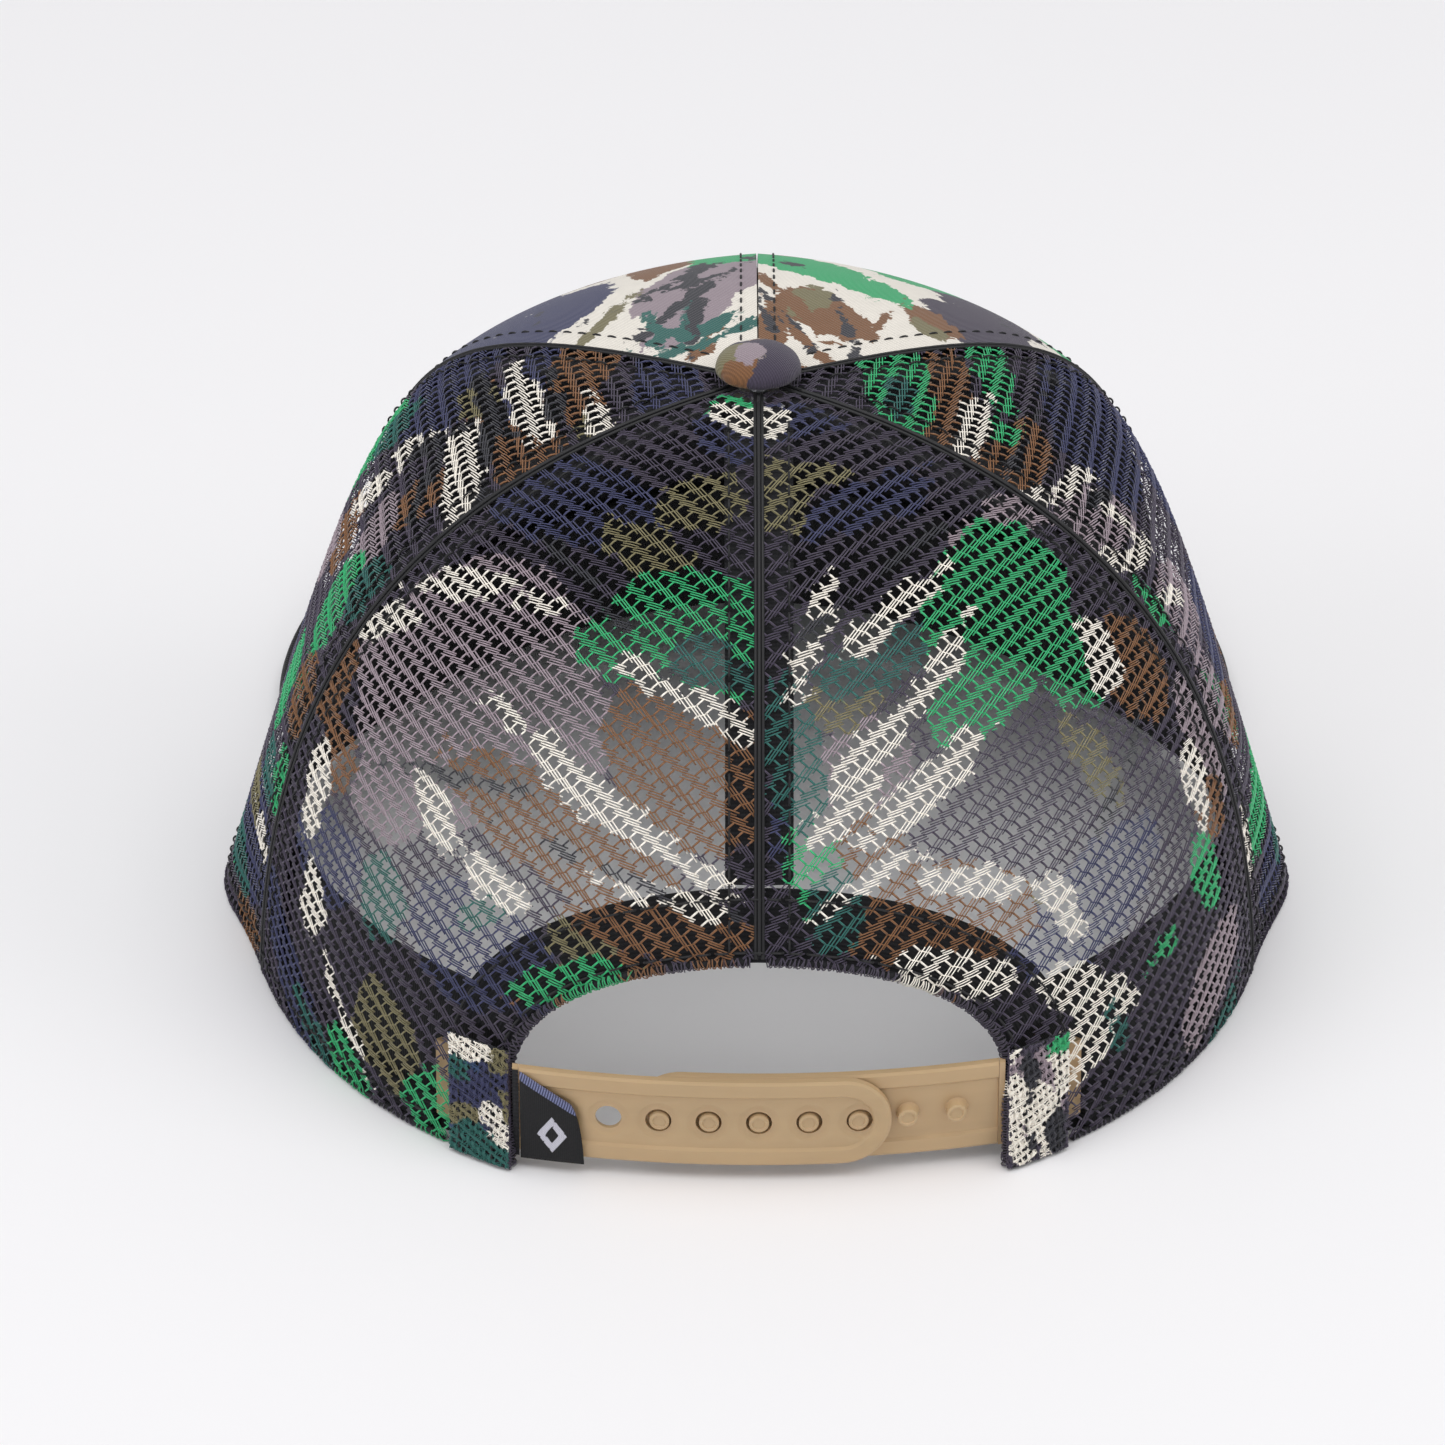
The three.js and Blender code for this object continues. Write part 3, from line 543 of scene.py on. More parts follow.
# ---------------------------------------------------------------- the printed pattern
# For each panel, the base ink and then its layers from the lowest up. A patch is an oval: station without its
# sign, s, half its width and half its height in millimetres, and its turn in degrees, counter-clockwise as
# seen from outside.
PRINT = {
    "back_left": ("plum", [
        ("navy", [(2.25, 0.72, 20, 9, 20), (2.2, 0.2, 12, 9, 0), (2.55, 0.2, 17, 11, -10),
                  (2.15, 0.05, 26, 6, -30), (2.95, 0.88, 12, 7, 0), (2.3, 0.42, 12, 9, 10)]),
        ("mauve", [(2.36, 0.45, 24, 26, -30), (2.6, 0.46, 12, 8, -30), (2.3, 0.3, 10, 8, 0),
                   (2.12, 0.44, 8, 10, 0)]),
        ("olive", [(2.74, 0.76, 8, 6, 30), (2.62, 0.68, 9, 5, -10), (2.8, 0.44, 10, 5, -25),
                   (2.42, 0.07, 11, 8, -35), (2.72, 0.24, 8, 4, 0)]),
        ("brown", [(2.87, 0.43, 18, 13, -35), (2.66, 0.33, 28, 8, -18), (2.85, 0.26, 18, 5, -5),
                   (2.02, 0.36, 6, 10, 10), (2.14, 0.3, 7, 6, 0), (2.75, 0.2, 14, 4, 20)]),
        ("green", [(2.84, 0.58, 17, 12, -5), (2.66, 0.56, 8, 7, 0), (2.62, 0.93, 6, 4, 0),
                   (2.7, 0.19, 13, 3, 25), (2.35, 0.02, 9, 4, -30), (2.52, 0.03, 6, 7, 0)]),
        ("teal", [(2.88, 0.545, 8, 4, -15), (2.36, 0.2, 6, 8, 20), (2.3, 0.0, 16, 3.5, -30),
                  (2.55, 0.24, 7, 3, 40)]),
        ("cream", [(2.2, 0.56, 15, 2.8, 28), (2.08, 0.47, 9, 2.6, 50), (2.86, 0.5, 15, 2.6, -22),
                   (2.72, 0.38, 28, 2.8, -24), (2.42, 0.31, 9, 3.2, -40), (2.56, 0.27, 8.5, 3.6, -20),
                   (2.2, 0.14, 7, 4.6, -50), (2.12, 0.25, 5, 8, 10), (2.9, 0.9, 8, 3, -30),
                   (2.85, 0.29, 10, 2, -10), (2.3, 0.08, 14, 1.1, -38), (2.55, 0.42, 10, 1.6, -30)]),
        ("coal", [(2.5, 0.62, 16, 1.2, -20), (2.45, 0.36, 14, 1.2, 15), (2.75, 0.31, 16, 1.1, -10)]),
    ]),
    "back_right": ("plum", [
        ("navy", [(2.9, 0.9, 14, 6, 0), (2.45, 0.22, 20, 9, 20), (2.92, 0.37, 6, 8, 0),
                  (2.3, 0.47, 6, 8, 30), (2.5, 0.75, 14, 5, 0)]),
        ("mauve", [(2.2, 0.06, 16, 7, 25), (2.05, 0.28, 6, 14, 0), (2.1, 0.66, 14, 4, -25),
                   (2.8, 0.42, 10, 8, 20)]),
        ("olive", [(2.93, 0.77, 5, 8, 10), (2.72, 0.8, 7, 3.4, -10), (2.8, 0.5, 8, 5, 10),
                   (2.35, 0.36, 4, 10, 10), (2.6, 0.26, 8, 4, 0)]),
        ("brown", [(2.8, 0.35, 8, 4.5, 20), (2.72, 0.26, 20, 10, -15), (2.14, 0.42, 9, 10, 0),
                   (2.1, 0.22, 6, 6, 0), (2.85, 0.19, 15, 4, -10)]),
        ("green", [(2.38, 0.56, 19, 14, 25), (2.55, 0.47, 9, 7, 20), (2.28, 0.47, 9, 8, 0),
                   (2.17, 0.17, 5, 8, 15), (2.32, 0.14, 5, 2.5, 20), (2.9, 0.33, 5, 9, 0)]),
        ("teal", [(2.72, 0.54, 11, 5, 10), (2.93, 0.44, 5, 14, 0), (2.88, 0.28, 5, 7, 0),
                  (2.45, 0.09, 3, 5, 0), (2.2, 0.0, 14, 3, 25)]),
        ("cream", [(2.86, 0.58, 3, 11, -25), (2.62, 0.6, 13, 2.6, 22), (2.78, 0.44, 14, 3.2, 38),
                   (2.7, 0.39, 15, 3, 25), (2.84, 0.38, 9, 3, 40), (2.6, 0.51, 10, 2.2, 35),
                   (2.2, 0.46, 4, 7, -20), (2.13, 0.26, 4.5, 8, 0), (2.62, 0.28, 11, 3, -20),
                   (2.5, 0.23, 3, 8, 10), (2.55, 0.08, 12, 5, 10), (2.8, 0.31, 9, 2, 25),
                   (2.7, 0.2, 14, 3.6, -25), (2.5, 0.14, 12, 4.6, -30), (2.95, 0.9, 4, 5, 20)]),
        ("coal", [(2.55, 0.66, 14, 1.2, 15), (2.3, 0.33, 12, 1.2, 30)]),
    ]),
    "side_left": ("plum", [
        ("navy", [(1.15, 0.62, 16, 12, 0), (1.3, 0.78, 14, 8, 0), (1.5, 0.92, 22, 6, 0),
                  (1.8, 0.1, 18, 12, 0), (1.3, 0.2, 12, 10, 0)]),
        ("brown", [(1.15, 0.83, 13, 6, 0), (1.83, 0.74, 13, 8, 0), (1.45, 0.69, 11, 3.4, 0),
                   (1.7, 0.57, 6, 8, 0), (1.9, 0.3, 7, 8, 0), (1.4, 0.4, 8, 8, 0), (1.85, 0.02, 10, 4, 0),
                   (1.6, 0.82, 10, 4, 0)]),
        ("olive", [(1.3, 0.69, 6, 4, 20), (1.9, 0.82, 6, 3, 0), (1.65, 0.12, 8, 5, 0)]),
        ("mauve", [(1.65, 0.49, 8, 8, 10), (1.3, 0.33, 7, 7, 0)]),
        ("green", [(1.12, 0.42, 8, 14, 0), (1.75, 0.4, 8, 11, 10), (1.6, 0.25, 10, 9, 0),
                   (1.25, 0.12, 12, 8, 0), (1.95, 0.2, 5, 7, 0), (1.5, 0.05, 8, 4, 0)]),
        ("teal", [(1.8, 0.18, 8, 5, 0), (1.6, 0.05, 14, 5, 0), (1.9, 0.46, 5, 7, 0),
                  (1.2, 0.52, 5, 8, 0)]),
        ("cream", [(1.6, 0.665, 9, 5.4, 0), (1.36, 0.57, 3.2, 8, -20), (1.38, 0.47, 3.2, 9, -20),
                   (1.92, 0.63, 8, 5, 0), (1.3, 0.75, 9, 2.4, 25), (1.52, 0.76, 9, 3, 10),
                   (1.9, 0.12, 5, 3, 0), (1.78, 0.83, 7, 2.4, 0)]),
        ("coal", [(1.42, 0.62, 1.8, 7, 0), (1.36, 0.71, 12, 2, 30), (1.62, 0.595, 13, 2.2, -25),
                  (1.6, 0.79, 14, 1.8, 5), (1.8, 0.68, 10, 1.6, -10)]),
    ]),
    "side_right": ("plum", [
        ("navy", [(1.3, 0.58, 18, 14, 0), (1.15, 0.4, 12, 14, 0), (1.5, 0.3, 16, 8, 0),
                  (1.7, 0.05, 12, 6, 0)]),
        ("brown", [(1.6, 0.82, 20, 7, -5), (1.78, 0.7, 12, 7, -10), (1.95, 0.72, 8, 5, 0),
                   (1.8, 0.25, 8, 6, 0), (1.3, 0.2, 9, 8, 0)]),
        ("mauve", [(1.85, 0.58, 14, 6, -35), (1.75, 0.4, 12, 8, -30), (1.9, 0.3, 6, 10, 0)]),
        ("green", [(1.2, 0.88, 22, 7, -5), (1.15, 0.76, 16, 4, -10), (1.6, 0.74, 4, 4, 0),
                   (1.65, 0.12, 22, 7, 0), (1.3, 0.1, 14, 8, 0), (1.95, 0.45, 3, 5, 0)]),
        ("teal", [(1.5, 0.86, 8, 2.5, 0), (1.5, 0.05, 9, 4, 0)]),
        ("cream", [(1.72, 0.77, 12, 3.4, -10), (1.82, 0.64, 14, 2.2, -30), (1.7, 0.54, 2.4, 9, 0),
                   (1.9, 0.52, 10, 2, -40), (1.8, 0.42, 8, 2.4, -40), (1.96, 0.12, 2.5, 8, 0)]),
        ("coal", [(1.6, 0.7, 16, 1.2, -15), (1.85, 0.6, 14, 1.1, -25)]),
    ]),
    "front_left": ("cream", [
        ("mauve", [(0.28, 0.78, 15, 9, 20), (0.45, 0.86, 12, 5, 30), (0.15, 0.5, 14, 16, 0),
                   (0.7, 0.3, 18, 10, 20), (0.35, 0.14, 22, 10, 10), (0.85, 0.42, 13, 12, 0)]),
        ("navy", [(0.9, 0.72, 22, 8, -5), (0.85, 0.57, 20, 12, 0), (0.3, 0.3, 16, 14, 0),
                  (0.9, 0.08, 18, 10, 0), (0.5, 0.01, 24, 9, 0), (0.03, 0.18, 10, 16, 0)]),
        ("olive", [(0.75, 0.8, 11, 1.6, 12), (0.5, 0.42, 18, 10, 30), (0.2, 0.1, 14, 8, 0),
                   (0.58, 0.27, 15, 9, -20), (0.8, 0.18, 11, 9, 30)]),
        ("brown", [(0.62, 0.19, 17, 9, -20), (0.3, 0.62, 11, 7, 40), (0.7, 0.93, 8, 2, 15),
                   (0.45, 0.54, 13, 9, 0), (0.08, 0.4, 9, 8, 20), (0.78, 0.02, 16, 7, 10)]),
        ("green", [(0.06, 0.64, 10, 7, 0), (0.75, 0.42, 11, 8, 30), (0.4, 0.05, 18, 7, 0),
                   (0.1, 0.32, 8, 9, 0), (0.48, 0.16, 13, 8, -20), (0.93, 0.28, 9, 10, 0),
                   (0.27, 0.45, 10, 6, 0)]),
        ("teal", [(0.55, 0.885, 9, 2.2, 50), (0.5, 0.9, 9, 1.9, 12), (0.72, 0.87, 7, 1.4, 60),
                  (0.78, 0.885, 7, 1.4, -20), (0.35, 0.915, 9, 1.3, 10)]),
        ("coal", [(0.3, 0.8, 15, 1.5, 35), (0.22, 0.76, 12, 1.2, 10), (0.38, 0.84, 10, 0.9, 65),
                  (0.4, 0.76, 12, 1.0, 15), (0.5, 0.5, 20, 1.6, 50), (0.35, 0.35, 22, 1.8, 40),
                  (0.7, 0.22, 24, 1.8, -30), (0.2, 0.1, 20, 1.6, 20)]),
    ]),
    "front_right": ("cream", [
        ("plum", [(0.95, 0.72, 16, 9, 10), (0.75, 0.64, 14, 7, 0), (0.3, 0.35, 17, 15, 0),
                  (0.9, 0.14, 16, 12, 0), (0.5, 0.02, 26, 9, 0), (0.85, 0.42, 14, 12, 0)]),
        ("mauve", [(0.1, 0.1, 12, 14, 0), (0.6, 0.52, 16, 8, 20), (0.55, 0.2, 18, 9, -20)]),
        ("brown", [(0.42, 0.855, 11, 6.5, -15), (0.6, 0.42, 20, 11, 0), (0.12, 0.24, 12, 10, 0),
                   (0.12, 0.9, 3, 7, 0), (0.82, 0.78, 7, 4, -10), (0.72, 0.03, 18, 7, -10)]),
        ("olive", [(0.3, 0.83, 4, 7, -10), (0.5, 0.27, 15, 9, 20), (0.1, 0.5, 9, 13, 0),
                   (0.86, 0.8, 4, 2.5, 0), (0.85, 0.3, 11, 8, -30)]),
        ("green", [(0.16, 0.69, 15, 7, -10), (0.4, 0.735, 12, 4.5, -12), (0.75, 0.29, 14, 9, 0),
                   (0.3, 0.06, 18, 7, 0), (0.5, 0.6, 10, 7, 0), (0.2, 0.4, 10, 7, 30),
                   (0.93, 0.52, 8, 8, 0)]),
        ("coal", [(0.17, 0.7, 3, 1.8, 0), (0.4, 0.91, 13, 0.9, -38), (0.62, 0.87, 11, 0.9, -42),
                  (0.25, 0.93, 9, 0.8, -60), (0.55, 0.5, 18, 1.6, -40), (0.35, 0.3, 22, 1.8, -30),
                  (0.7, 0.16, 22, 1.7, 35), (0.15, 0.15, 16, 1.5, 60)]),
        ("brown", [(0.2, 0.84, 11, 0.9, -48), (0.32, 0.9, 12, 1.0, -40), (0.7, 0.83, 6, 0.7, -70),
                   (0.25, 0.95, 8, 0.9, -30)]),
    ]),
}


def print_fields(panel, side, a, s):
    """Each layer's field, in millimetres, at stations a and s."""
    points = crown(a, s)
    fields = {}
    for index, (_, patches) in enumerate(PRINT[panel][1]):
        best = np.full(points.shape[:-1], -30.0)
        for station, height, half_width, half_height, turn in patches:
            station *= side
            center = crown(station, height)
            up = unit(crown(station, min(height + 0.01, 1)) - crown(station, max(height - 0.01, 0)))
            normal = crown_normal(station, height)
            right = np.cross(up, normal)
            away = points - center
            x, y, z = away @ right, away @ up, away @ normal
            c, t = math.cos(math.radians(turn)), math.sin(math.radians(turn))
            across, along = (x * c + y * t) / half_width, (y * c - x * t) / half_height
            deep = z / (2 * max(half_width, half_height))
            small = min(half_width, half_height)
            best = np.maximum(best, (1 - np.sqrt(across**2 + along**2 + deep**2)) * small)
        fields[f"layer_{index}"] = best
    return fields


def oval_fields(layers, x, y):
    """Each layer's field, in millimetres, from ovals in a plane: center, half width, half height and turn."""
    fields = {}
    for index, (_, patches) in enumerate(layers):
        best = np.full(np.shape(x), -30.0)
        for center_x, center_y, half_width, half_height, turn in patches:
            c, t = math.cos(math.radians(turn)), math.sin(math.radians(turn))
            dx, dy = x - center_x, y - center_y
            reach = np.hypot((dx * c + dy * t) / half_width, (dy * c - dx * t) / half_height)
            best = np.maximum(best, (1 - reach) * min(half_width, half_height))
        fields[f"layer_{index}"] = best
    return fields


CAMO = {}
for panel, (base, layers) in PRINT.items():
    inks = [ink for ink, _ in layers]
    CAMO[panel] = camo_material(f"camo_{panel}", base, inks, knit=not panel.startswith("front"))


# ---------------------------------------------------------------- the knitted mesh
HOLE_PITCH, ROW_PITCH = 2.3, 3.15
FILAMENT, CHAIN = 0.135, 0.2
LONG_FALL, SHORT_RISE, SHORT_GAP = 0.78, 0.55, 0.5
WANDER = 0.05
SPAN = {"side": (FRONT_SIDE, BACK_SIDE), "back": (BACK_SIDE, BACK), "front": (0, FRONT_SIDE)}


def table(values, row, column):
    """A value between the entries of a table, at fractional rows and columns."""
    row = np.clip(row, 0, values.shape[0] - 1.001)
    column = np.clip(column, 0, values.shape[1] - 1.001)
    i, j = row.astype(int), column.astype(int)
    p, q = row - i, column - j
    low = values[i, j] * (1 - q) + values[i, j + 1] * q
    high = values[i + 1, j] * (1 - q) + values[i + 1, j + 1] * q
    return low * (1 - p) + high * p


class Flat:
    """A mesh panel's cloth laid flat, in millimetres: u towards the centre back and v up.

    Each line of constant s is laid out to its own length, turning as it turns on the crown, from a straight
    upright line: the centre-back seam for a back panel, and the middle line for a side panel."""

    ROWS, COLUMNS, PAST = 240, 81, 0.12

    def __init__(self, kind, side):
        self.kind, self.side, self.depth = kind, side, 0.45
        self.low, self.high = SPAN[kind]
        origin = {"side": (FRONT_SIDE + BACK_SIDE) / 2, "back": BACK, "front": 0}[kind]
        self.s = np.linspace(0, float(s_at_radius(origin, 4.0)), self.ROWS)
        self.stations = np.linspace(self.low - self.PAST, self.high + self.PAST, self.COLUMNS)
        points = crown(self.stations[None, :], self.s[:, None])
        normals = crown_normal(self.stations[None, :], self.s[:, None])
        gap = self.stations[1] - self.stations[0]
        speed = np.gradient(points, gap, axis=1)
        width = np.linalg.norm(speed, axis=-1)
        tangent = speed / width[..., None]
        bend = (np.gradient(tangent, gap, axis=1) * np.cross(normals, tangent)).sum(-1)
        line = crown(origin, self.s)
        rise = np.concatenate([[0], np.cumsum(np.linalg.norm(np.diff(line, axis=0), axis=1))])
        near = int(np.abs(self.stations - origin).argmin())
        upward = unit(np.gradient(line, axis=0))
        lean = np.arcsin(np.clip((tangent[:, near] * upward).sum(-1), -1, 1))
        turned = self.total(bend, gap, near) + lean[:, None]
        self.flat_u = self.total(width * np.cos(turned), gap, near)
        self.flat_u = self.flat_u + (self.stations[near] - origin) * width[:, [near]]
        self.flat_v = self.total(width * np.sin(turned), gap, near) + rise[:, None]
        self.width_low, self.width_high = (station_width(x, self.s) for x in (self.low, self.high))
        panel = (self.stations >= self.low) & (self.stations <= self.high)
        self.box = [(float(t[:, panel].min()), float(t[:, panel].max())) for t in (self.flat_u, self.flat_v)]
        self.rim = 1.0 / float(rise[-1])
        self.fill_inverse()

    @staticmethod
    def total(values, gap, near):
        steps = (values[:, 1:] + values[:, :-1]) / 2 * gap
        total = np.concatenate([np.zeros((len(values), 1)), np.cumsum(steps, 1)], 1)
        return total - total[:, [near]]

    def fill_inverse(self):
        """A table of the station and s at places a millimetre apart on the flat cloth, by Newton's method."""
        (u0, u1), (v0, v1) = self.box
        self.start = np.array([u0 - 3, v0 - 3])
        u, v = np.meshgrid(np.arange(u0 - 3, u1 + 4), np.arange(v0 - 3, v1 + 4), indexing="ij")
        picks = np.stack([self.flat_u[::6, ::4].ravel(), self.flat_v[::6, ::4].ravel()], 1)
        rows, columns = np.meshgrid(np.arange(0, self.ROWS, 6), np.arange(0, self.COLUMNS, 4), indexing="ij")
        places = np.stack([u.ravel(), v.ravel()], 1)
        nearest = np.concatenate([
            ((block[:, None] - picks[None]) ** 2).sum(2).argmin(1) for block in np.array_split(places, 40)])
        row, column = rows.ravel()[nearest].astype(float), columns.ravel()[nearest].astype(float)
        at = lambda r, c: np.stack([table(self.flat_u, r, c), table(self.flat_v, r, c)], 1)
        for _ in range(14):
            away = places - at(row, column)
            along_row = at(row + 0.5, column) - at(row - 0.5, column)
            along_column = at(row, column + 0.5) - at(row, column - 0.5)
            area = along_row[:, 0] * along_column[:, 1] - along_row[:, 1] * along_column[:, 0]
            area = np.where(np.abs(area) < 1e-6, 1e-6, area)
            move_row = (away[:, 0] * along_column[:, 1] - away[:, 1] * along_column[:, 0]) / area
            move_column = (along_row[:, 0] * away[:, 1] - along_row[:, 1] * away[:, 0]) / area
            row = np.clip(row + np.clip(move_row, -8, 8), 0.5, self.ROWS - 1.5)
            column = np.clip(column + np.clip(move_column, -8, 8), 0.5, self.COLUMNS - 1.5)
        miss = np.linalg.norm(places - at(row, column), axis=1)
        self.found = (miss < 0.3).astype(float).reshape(u.shape)
        self.row, self.column = row.reshape(u.shape), column.reshape(u.shape)

    def place(self, u, v):
        row = table(self.row, u - self.start[0], v - self.start[1])
        column = table(self.column, u - self.start[0], v - self.start[1])
        station = self.stations[0] + column * (self.stations[1] - self.stations[0])
        return self.side * station, row * (self.s[1] - self.s[0])

    def cloth(self, a, s):
        row = s / (self.s[1] - self.s[0])
        column = (np.abs(a) - self.stations[0]) / (self.stations[1] - self.stations[0])
        return table(self.flat_u, row, column), table(self.flat_v, row, column)

    def inside(self, u, v, margin=0.75):
        a, s = self.place(u, v)
        station = a * self.side
        ok = (s >= self.rim) & (s < self.s[-2])
        ok &= table(self.found, u - self.start[0], v - self.start[1]) > 0.5
        ok &= (station - self.low) * np.interp(s, self.s, self.width_low) >= margin
        ok &= (self.high - station) * np.interp(s, self.s, self.width_high) >= margin
        if self.kind == "back":
            points = crown(a, s)
            x = np.abs(points[..., 0])
            share = np.clip(x / (ARCH_WIDTH + 0.9), 0, 1)
            edge = ARCH_BASE + (ARCH_RISE + 0.9) * np.sqrt(1 - share**2)
            ok &= (x > ARCH_WIDTH + 0.9) | (points[..., 2] > edge)
        return ok


def strokes(flat, start, end, radius, lift, count, sides):
    """Straight threads on the flat cloth from start to end, cut to the panel and laid on the crown."""
    samples = np.linspace(0, 1, 9)
    at = lambda t: start[:, None, :] + (end - start)[:, None, :] * t[..., None]
    ok = flat.inside(*np.moveaxis(at(np.broadcast_to(samples, (len(start), 9))), -1, 0))
    keep = ok.any(1)
    start, end, ok = start[keep], end[keep], ok[keep]
    first = ok.argmax(1)
    last = 8 - ok[:, ::-1].argmax(1)
    ends = []
    for inner, outer in ((first, first - 1), (last, last + 1)):
        good, bad = samples[inner], samples[np.clip(outer, 0, 8)]
        for _ in range(7):
            middle = (good + bad) / 2
            fine = flat.inside(*np.moveaxis(at(middle[:, None]), -1, 0))[:, 0]
            good, bad = np.where(fine, middle, good), np.where(fine, bad, middle)
        ends.append(good)
    keep = ends[1] - ends[0] > 0.06
    start, end, low, high = start[keep], end[keep], ends[0][keep], ends[1][keep]
    t = low[:, None] + (high - low)[:, None] * np.linspace(0, 1, count)
    path = at(t)
    a, s = flat.place(path[..., 0], path[..., 1])
    points, normals = crown(a, s), crown_normal(a, s)
    depth = flat.depth - lift * np.sin(np.pi * t)
    tube = tubes(points - depth[..., None] * normals, normals, radius, sides)
    return tube, np.repeat(a.ravel(), sides), np.repeat(s.ravel(), sides)


def knit(flat, turn, grain=1.0, thick=1.0):
    """All the threads of a panel: rows of holes at an angle, parted by chains and bands of fine filaments."""
    turn = math.radians(turn)
    across, up = np.array([math.cos(turn), math.sin(turn)]), np.array([-math.sin(turn), math.cos(turn)])
    box = np.array([(x, y) for x in flat.box[0] for y in flat.box[1]])
    p, q = box @ across, box @ up
    hole_pitch, row_pitch = HOLE_PITCH * grain, ROW_PITCH * grain
    columns = np.arange(math.floor(p.min() / hole_pitch) - 1, math.ceil(p.max() / hole_pitch) + 2)
    rows = np.arange(math.floor(q.min() / row_pitch) - 1, math.ceil(q.max() / row_pitch) + 2)
    i, k = (x.ravel() for x in np.meshgrid(columns, rows, indexing="ij"))
    odd = k % 2
    p = (i + 0.5 * odd) * hole_pitch
    q = k * row_pitch

    def line(p0, q0, p1, q1, pick=slice(None)):
        wander = rng.normal(0, WANDER, len(p))
        return [(x + wander)[pick, None] * across + (y + wander)[pick, None] * up
                for x, y in ((p0, q0), (p1, q1))]

    link, band = 0.82 * grain, row_pitch / 2
    long_band, short_band = odd == 0, odd == 1
    parts = [strokes(flat, *line(p - 0.1, q - link, p + 0.1, q + link), CHAIN * thick, 0.14, 3, 4)]
    back_step = 0.5 * hole_pitch
    parts.append(strokes(flat, *line(p + 0.1, q + link, p + back_step, q + row_pitch - link, long_band),
                         FILAMENT * thick, 0.0, 3, 3))
    reach, fall = 1.5 * hole_pitch, LONG_FALL * grain
    parts.append(strokes(flat, *line(p - reach, q + band + fall, p + reach, q + band - fall, long_band),
                         FILAMENT * thick, 0.12, 4, 4))
    reach, fall = 0.6 * hole_pitch, SHORT_RISE * grain
    middle = p + 0.25 * hole_pitch
    for offset in (-SHORT_GAP, 0, SHORT_GAP):
        away = q + band + offset * grain
        ends = line(middle - reach, away - fall, middle + reach, away + fall, short_band)
        parts.append(strokes(flat, *ends, FILAMENT * thick, 0.16, 3, 4))
    return parts


def edge_roll(flat, station, toward, low=0.0):
    """The turned edge of a panel beside a seam: a thin roll of cloth from the rim to the button."""
    top = float(s_at_radius(flat.side * station, CROWN_HOLE))
    s = np.linspace(low, top, 150)
    a = beside(flat.side * station, s, flat.side * toward * 0.6)
    normals = crown_normal(a, s)
    path = crown(a, s) - 0.35 * normals
    points, faces, caps = tubes(path[None], normals[None], 0.34, 8)
    return (points, faces, caps), np.repeat(a, 8), np.repeat(s, 8)


def arch_loop(out, steps_up=6, steps_round=60):
    """x and z of the rear opening's edge, moved out by a distance, from the wearer's left to right."""
    angle = np.linspace(0, np.pi, steps_round)
    x = (ARCH_WIDTH + out) * np.cos(angle)
    z = ARCH_BASE + (ARCH_RISE + out) * np.sin(angle)
    rise = np.linspace(0.6, ARCH_BASE, steps_up, endpoint=False)
    full = lambda value: np.full(steps_up, float(value))
    return (np.concatenate([full(ARCH_WIDTH + out), x, full(-ARCH_WIDTH - out)]),
            np.concatenate([rise, z, rise[::-1]]))


def resample(path, spacing):
    """Points at an even spacing along a path."""
    length = np.concatenate([[0], np.cumsum(np.linalg.norm(np.diff(path, axis=0), axis=1))])
    where = np.arange(0, length[-1], spacing)
    return np.stack([np.interp(where, length, path[:, k]) for k in range(path.shape[1])], 1)


def mesh_panel(kind, side, word, turn):
    panel = f"{kind}_{word}"
    flat = Flat(kind, side)
    parts = knit(flat, turn)
    low, high = SPAN[kind]
    back_edge = float(s_at_height(side * high, ARCH_BASE + ARCH_RISE + 0.8)) if kind == "back" else 0.0
    rolls = [edge_roll(flat, low, 1), edge_roll(flat, high, -1, back_edge)]
    new_piece(f"{kind}_mesh_edges_{word}", *joined([roll[0] for roll in rolls]), BLACK_THREAD,
              slot="black_tape", crease=180)
    points, faces = joined([part[0] for part in parts])
    a = np.concatenate([part[1] for part in parts])
    s = np.concatenate([part[2] for part in parts])
    u, v = flat.cloth(a, s)
    fields = print_fields(panel, side, a, s)
    fields["cloth"] = np.stack([u, v, np.zeros_like(u)], 1)
    piece = new_piece(f"{kind}_mesh_{word}", points, faces, CAMO[panel], slot="camo_mesh",
                      replaces=[f"{kind}_mesh_panel_{word}"], fields=fields, crease=180)
    layer = piece.data.uv_layers.new(name="OFBake")
    loops = np.empty(len(piece.data.loops), np.int32)
    piece.data.loops.foreach_get("vertex_index", loops)
    (u0, u1), (v0, v1) = flat.box
    across, upward = np.clip((u - u0) / (u1 - u0), 0, 1), np.clip((v - v0) / (v1 - v0), 0, 1)
    layer.data.foreach_set("uv", np.stack([across[loops], upward[loops]], 1).astype(np.float32).ravel())
    station, s = np.meshgrid(np.linspace(low, high, 60), np.linspace(0, flat.s[-2], 80), indexing="ij")
    _, whole = measured(crown(station, s))
    size = ((u1 - u0) / 1000, (v1 - v0) / 1000)
    return piece, size, THREAD_SHARE * whole


# Half the modelled threads' surface over the panel's area. It is 0.56 at the back and 0.59 at the sides.
THREAD_SHARE = 0.58
MESH_TURN = {"side": 12, "back": -42}
for side, word in SIDES:
    for kind in ("side", "back"):
        mesh_panel(kind, side, word, MESH_TURN[kind])


def cloth_fields(a, s, side, kind):
    flat = Flat(kind, side)
    u, v = flat.cloth(a, s)
    return np.stack([u, v, np.zeros_like(u)], -1)


